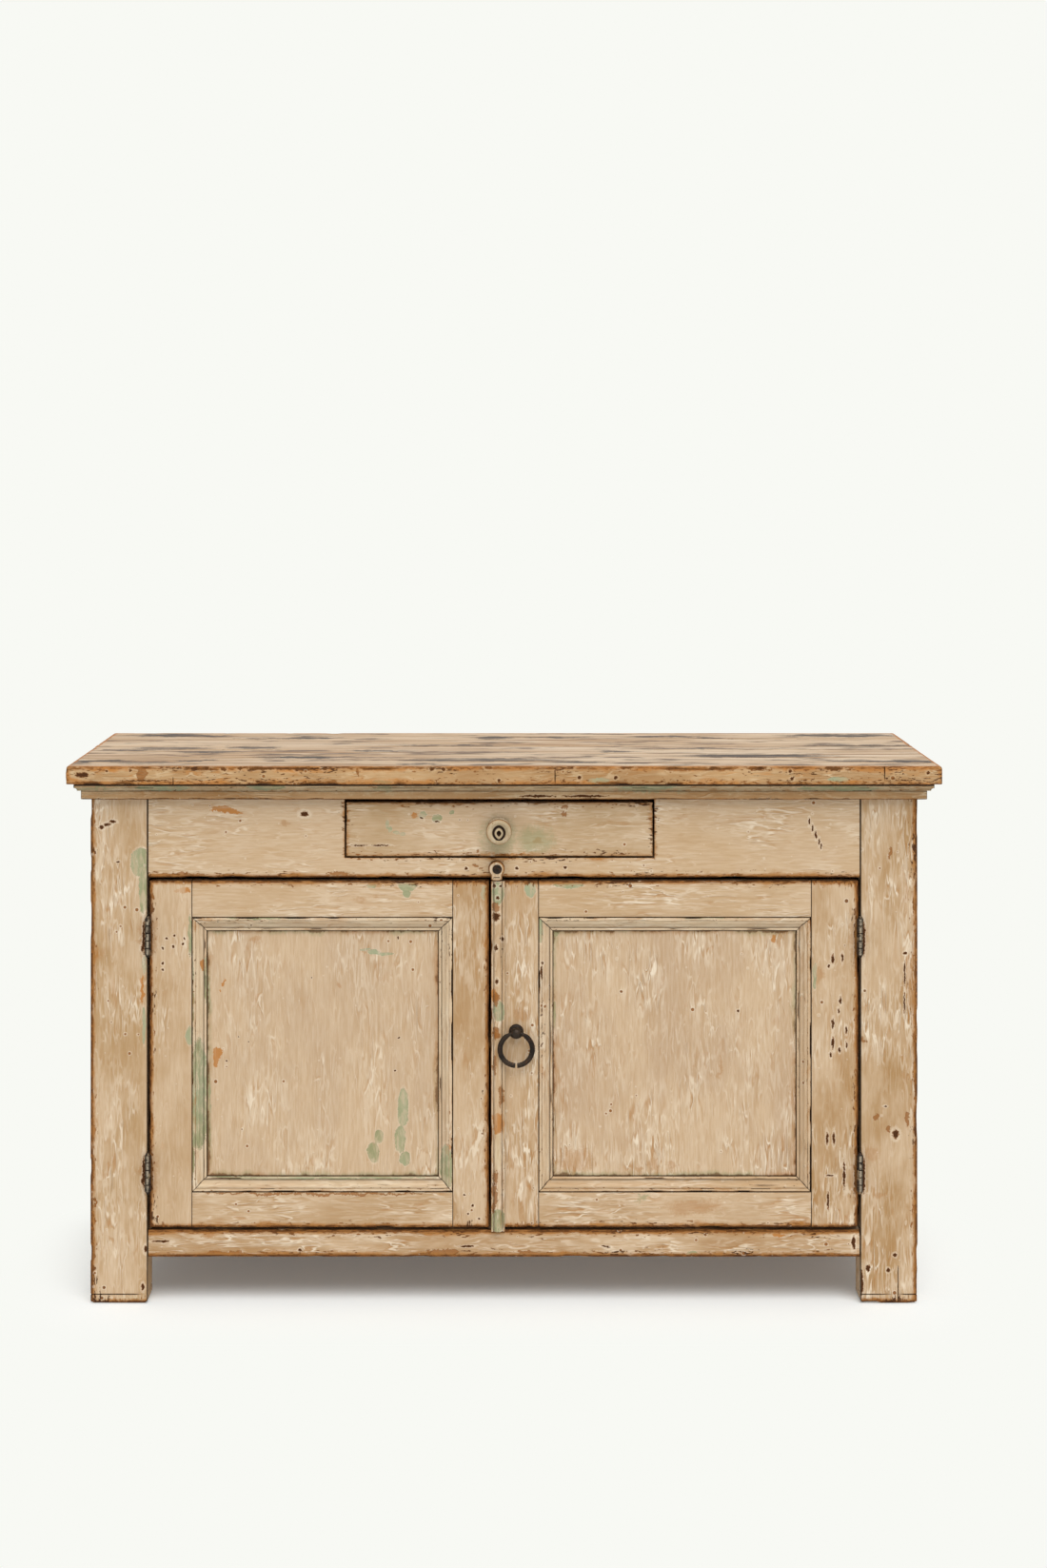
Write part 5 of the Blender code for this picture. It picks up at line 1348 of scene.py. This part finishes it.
def build_panel_mouldings():
    profile = moulding_profile()
    for door, number in (("left", 91), ("right", 95)):
        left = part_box(door + "_door_left_moulding")[0]
        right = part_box(door + "_door_right_moulding")[1]
        x_low, x_high = left[0] - FIT, right[0] + FIT
        z_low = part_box(door + "_door_bottom_moulding")[0][2] - FIT
        z_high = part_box(door + "_door_top_moulding")[1][2] + FIT
        ground = left[1] + MOULDING_HEIGHT
        near = FIT / 2
        sticks = (
            ("left", (x_low, ground, z_low + near), UP, (1, 0, 0), z_high - z_low),
            ("right", (x_high, ground, z_low + near), UP, (-1, 0, 0), z_high - z_low),
            ("bottom", (x_low + near, ground, z_low), (1, 0, 0), UP, x_high - x_low),
            ("top", (x_low + near, ground, z_high), (1, 0, 0), (0, 0, -1), x_high - x_low),
        )
        for k, (label, start, along, inward, length) in enumerate(sticks):
            # Creases in the mouldings get grime and painted shade
            worn_stick(
                "%s_door_%s_moulding" % (door, label), profile, start, along, inward, (0, -1, 0),
                length - 2 * near, (1.0, -1.0), number + k, chips=1.7, relief=0.7, rubbed=0.75,
                outer_grime=RIM_HEIGHT, clean_above=MOULDING_BEAD + MOULDING_QUIRK, crease_grime_and_shade=0.65,
            )


def build_cover_strip():
    """A broad roll between two beads."""
    low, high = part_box("cover_strip")
    width = high[0] - low[0]
    bead = STRIP_BEAD
    shoulder = STRIP_THICKNESS / 2
    roll = width / 2 - 2 * bead - bead / 2
    valley = shoulder - bead / 2
    profile = [(0.0, FIT), (0.0, shoulder)]
    profile += arc(bead, shoulder, bead, bead, 180, 0, 5)[1:]
    profile += [(2 * bead, valley), (2 * bead + bead / 2, valley)]
    profile += arc(width / 2, shoulder, roll, STRIP_THICKNESS - shoulder, 180, 0, 8)
    profile += [(width - 2 * bead - bead / 2, valley), (width - 2 * bead, valley)]
    profile += arc(width - bead, shoulder, bead, bead, 180, 0, 5)
    profile += [(width, FIT)]
    # Creases between the beads get grime and painted shade
    worn_stick(
        "cover_strip", profile, (low[0], high[1] + FIT, low[2]), UP, (1, 0, 0), (0, -1, 0), high[2] - low[2],
        (0.0, 0.0), 99, chips=1.6, step=0.006, crease_grime_and_shade=0.35,
    )


# Knob, button, ring and nails


def pointed_boss(across, rise):
    """The knob's boss and groove sit low, are taller than wide, and come to a blunt point below."""
    radius = math.hypot(across, rise)
    amount = max(0.0, min(1.0, (BOSS_RADIUS - radius) / BOSS_BLEND))
    upright = abs(rise) / max(radius, TINY)
    taper = BOSS_TAPER_ABOVE if rise > 0 else BOSS_TAPER_BELOW
    lowered = rise * (1 + taper * amount * upright ** 6) - BOSS_LOWERED * amount
    return across * (1 - BOSS_NARROWED * amount), lowered


def build_knob(paint):
    """The turned knob: base, neck and a dished face with a dark groove round a pointed boss."""
    low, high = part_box("drawer_knob")
    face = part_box("drawer_front")[0][1]
    centre = ((low[0] + high[0]) / 2, face, (low[2] + high[2]) / 2)
    head = (high[0] - low[0]) / 2
    length = face - low[1]
    base = head * KNOB_BASE
    neck = head * KNOB_NECK
    rim = length * KNOB_RIM
    hollow_low = FIT + 3 * EASE
    hollow_high = length - 2 * rim
    middle = (hollow_low + hollow_high) / 2
    half = (hollow_high - hollow_low) / 2
    # The dirt values give grime and painted shade where the knob meets the drawer, under its head, and in its
    # groove
    profile = [(HUB, FIT, 0, 0), (base - EASE, FIT, 0.8, 0), (base, FIT + EASE, 0.3, 1)]
    profile += [(base, FIT + 2 * EASE, 0, 0.8), (base - EASE, hollow_low, 0.2, 0.3)]
    hollow = arc(base - 2 * EASE, middle, base - 2 * EASE - neck, half, 270, 90, 8)[1:]
    profile += [(radius, out, 0.35, 0.0) for radius, out in hollow]
    turn = arc(head - rim, length - rim, rim, rim, -60, 90, 8)
    profile += [(radius, out, 0.0, worn) for (radius, out), worn in zip(turn, KNOB_RIM_WEAR)]
    profile += [(radius, length - sunk, grime_and_shade, 0.0) for radius, sunk, grime_and_shade in KNOB_FACE]

    places, faces, fields = turned_mesh(profile, centre, squeeze=pointed_boss)
    places[:, 1] += KNOB_LUMPS * lattice_noise(places, 0.009, 5)
    chip = ramp(lattice_noise(places, 0.006, 9), 0.62, 0.8) * fields[:, 1]
    places[:, 1] += KNOB_CHIPS * chip * (places[:, 1] < centre[1] - length + 2 * rim)
    values = {"wear": fields[:, 1], "chip": chip, "dirt_and_shade": fields[:, 0], "relief": 0.5}
    knob = make_piece("drawer_knob", places, faces, places + 0.4, values)
    turn_faces_out(knob)
    dress(knob, paint)


def button_outline(head, reach):
    """A round head, and below it a tongue with a curved tip. Also the inward direction of each point."""
    half = head * BUTTON_TONGUE
    meet = math.degrees(math.asin(half / head))
    tip = math.degrees(math.asin(half / reach))
    outline = arc(0.0, 0.0, head, head, -90 + meet, 270 - meet, 30)
    outline += arc(0.0, 0.0, reach, reach, 270 - tip, 270 + tip, 8)
    outline = np.array(outline)
    before = outline - np.roll(outline, 1, axis=0)
    after = np.roll(outline, -1, axis=0) - outline
    tangent = before / np.linalg.norm(before, axis=1, keepdims=True)
    tangent = tangent + after / np.linalg.norm(after, axis=1, keepdims=True)
    tangent /= np.linalg.norm(tangent, axis=1, keepdims=True)
    return outline, np.stack([-tangent[:, 1], tangent[:, 0]], axis=1)


def build_turn_button(paint, iron):
    """The wooden button, softened all round its front, and the dished iron screw head that it turns on."""
    low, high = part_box("turn_button")
    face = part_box("frieze_board")[0][1]
    thickness = face - low[1]
    head = (high[0] - low[0]) / 2
    centre_x = (low[0] + high[0]) / 2
    centre_z = high[2] - head
    outline, inward = button_outline(head, centre_z - low[2])
    rings = [(0.0, FIT, 1.0)]
    rings += [(inset, share * thickness, worn) for inset, share, worn in BUTTON_RINGS]
    places = []
    for inset, out, worn in rings:
        places += [(centre_x + x, face - out, centre_z + z) for x, z in outline + inward * inset]
    places = np.array(places)
    wear = np.repeat([worn for inset, out, worn in rings], len(outline))
    chip = ramp(lattice_noise(places, 0.005, 3), 0.6, 0.8) * wear
    values = {"wear": wear, "chip": chip, "dirt_and_shade": 0.0, "relief": 0.6}
    faces = tube_faces(len(rings), len(outline))
    button = make_piece("turn_button", places, faces, places + 0.7, values)
    turn_faces_out(button)
    dress(button, paint)

    profile = [(HUB, 0.0, 0, 0)]
    profile += [(SCREW_RADIUS * share, out, 0, 0) for share, out in SCREW_PROFILE]
    profile += [(HUB, SCREW_MIDDLE, 0, 0)]
    places, faces, fields = turned_mesh(profile, (centre_x + SCREW_OFF_CENTRE, low[1], centre_z), 24)
    add_fastener("button_screw_head", "turn_button", places, faces, iron)


def build_pull_ring(iron):
    """The split ring, hammered flat: wider across the ring than deep, but round where it runs in the eye."""
    low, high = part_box("pull_ring")
    tube = (high[1] - low[1]) / 2
    outer = (high[0] - low[0]) / 2
    radius = outer - tube
    centre = np.array([(low[0] + high[0]) / 2, (low[1] + high[1]) / 2, high[2] - outer])
    gap = math.degrees(RING_GAP / radius)
    places = []
    for across, rise in arc(0.0, 0.0, 1.0, 1.0, gap - 90, 270 - gap, RING_STATIONS):
        flatness = 1 + (RING_FLATNESS - 1) * ramp(1 - rise, *RING_EYE)
        for swell, depth in arc(0.0, 0.0, tube * flatness, tube, 0, 360, RING_SIDES)[:-1]:
            reach = radius + swell
            places.append(centre + (reach * across, depth, reach * rise))
    places = np.array(places)
    places[:, 1] = centre[1] + (places[:, 1] - centre[1]) * (0.9 + 0.1 * lattice_noise(places, 0.006, 4))
    ring = make_piece("pull_ring", places, tube_faces(RING_STATIONS + 1, RING_SIDES), places, {})
    turn_faces_out(ring)
    dress(ring, iron)


def build_nails(iron):
    """Domed nails through the back boards into the back rails, as one mesh."""
    low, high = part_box("back_boards")
    width = (high[0] - low[0]) / BACK_BOARD_COUNT
    places, faces = [], []
    for rail in ("back_rail_lower", "back_rail_upper"):
        rail_low, rail_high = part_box(rail)
        level = (rail_low[2] + rail_high[2]) / 2
        for board, share in itertools.product(range(BACK_BOARD_COUNT), NAIL_SHARES):
            x = low[0] + (board + share) * width
            z = level + NAIL_WOBBLE * math.sin(board * 2.3 + share * 9)
            faces += tube_faces(len(NAIL_PROFILE), NAIL_SIDES, len(places))
            for spread, rise in NAIL_PROFILE:
                ring = arc(z, x, NAIL_RADIUS * spread, NAIL_RADIUS * spread, 0, 360, NAIL_SIDES)
                places += [(across, high[1] + rise, upright) for upright, across in ring[:-1]]
    add_fastener("back_board_nails", body_of["back_boards"], places, faces, iron)


def dress_cad_nodes(ring_iron):
    """The pieces whose CAD shape is right keep it, with their own materials."""
    directions = ("across", "deep", "upright")
    pine = {label: inside_material("inside pine " + label, axis) for axis, label in enumerate(directions)}
    hinge_iron = iron_material("painted-over iron", specks=0.6)
    for node, obj in frame["nodes"].items():
        if node in INSIDE_GRAIN:
            obj.material_slots[0].material = pine[INSIDE_GRAIN[node]]
        elif "hinge" in node and "leaf" in node:
            obj.material_slots[0].material = hinge_iron
        elif node == "ring_rose":
            obj.material_slots[0].material = ring_iron


# Stage


def build_world():
    """Soft light from all round, with a plain pale backdrop."""
    world = bpy.data.worlds.new("soft studio")
    g = Graph(world)
    ambient = g.node("ShaderNodeBackground", {"Color": AMBIENT_COLOUR, "Strength": AMBIENT})
    pale = g.node("ShaderNodeBackground", {"Color": BACKDROP, "Strength": 1.0})
    mixed = g.node("ShaderNodeMixShader", {0: g.seen_directly(), 1: ambient.outputs[0], 2: pale.outputs[0]})
    g.node("ShaderNodeOutputWorld", {"Surface": mixed.outputs[0]})
    bpy.context.scene.world = world


def build_floor():
    """A floor that takes the shadow and fades into the backdrop."""
    half = FLOOR_HALF
    corners = [(-half, -half, 0), (half, -half, 0), (half, half, 0), (-half, half, 0)]
    mesh = bpy.data.meshes.new("studio_floor")
    mesh.from_pydata(corners, [], [(0, 1, 2, 3)])
    floor = bpy.data.objects.new("studio_floor", mesh)
    bpy.context.scene.collection.objects.link(floor)
    g = Graph(bpy.data.materials.new("pale floor"))
    seen = g.seen_directly()
    beyond = g.vector("SUBTRACT", g.vector("ABSOLUTE", g.object_place()), FADE_INSIDE)
    away = g.vector("LENGTH", g.vector("MAXIMUM", beyond))
    fade = g.times(seen, g.ramp(away, 0.0, FADE_WIDTH))
    matt = g.node("ShaderNodeBsdfDiffuse", {"Color": FLOOR_COLOUR})
    lift = g.node("ShaderNodeEmission", {"Color": BACKDROP, "Strength": g.times(seen, FLOOR_LIFT)})
    near = g.node("ShaderNodeAddShader", {0: matt.outputs[0], 1: lift.outputs[0]})
    far = g.node("ShaderNodeEmission", {"Color": BACKDROP, "Strength": 1.0})
    blend = g.node("ShaderNodeMixShader", {0: fade, 1: near.outputs[0], 2: far.outputs[0]})
    g.node("ShaderNodeOutputMaterial", {"Surface": blend.outputs[0]})
    mesh.materials.append(g.owner)


def build_key_light():
    lamp = bpy.data.lights.new("soft key", "SUN")
    lamp.energy = KEY_STRENGTH
    lamp.angle = math.radians(KEY_SPREAD)
    lamp.color = KEY_COLOUR
    key = bpy.data.objects.new("soft_key", lamp)
    key.rotation_euler = (math.radians(90 - KEY_HEIGHT), 0.0, math.radians(KEY_TURN))
    bpy.context.scene.collection.objects.link(key)


def build_camera():
    camera = bpy.data.objects.new("photo_camera", bpy.data.cameras.new("photo_camera"))
    camera.data.sensor_fit = "VERTICAL"
    camera.data.sensor_height = 36.0
    camera.data.lens = FOCAL_PIXELS / PHOTO_HEIGHT * camera.data.sensor_height
    camera.data.shift_x = (PHOTO_WIDTH / 2 - MIDDLE_COLUMN) / PHOTO_HEIGHT
    camera.data.shift_y = (HORIZON_ROW - PHOTO_HEIGHT / 2) / PHOTO_HEIGHT
    camera.data.clip_end = 100.0
    camera.location = (0.0, -EYE_DISTANCE, EYE_HEIGHT)
    camera.rotation_euler = (math.radians(90), 0.0, 0.0)
    bpy.context.scene.collection.objects.link(camera)
    bpy.context.scene.camera = camera


PAINTS = mix_paints()
ring_iron = iron_material("blackened iron ring")
build_top()
build_posts()
build_front_and_sides()
build_doors()
build_cornice()
build_panel_mouldings()
build_cover_strip()
dress_cad_nodes(ring_iron)
build_knob(paint_material("painted knob", None, *KNOB_COLOURS, worn=0.7))
build_turn_button(paint_material("painted button", worn=0.8), ring_iron)
build_pull_ring(ring_iron)
build_nails(ring_iron)
bpy.context.scene.view_settings.view_transform = "Standard"
build_world()
build_floor()
build_key_light()
build_camera()
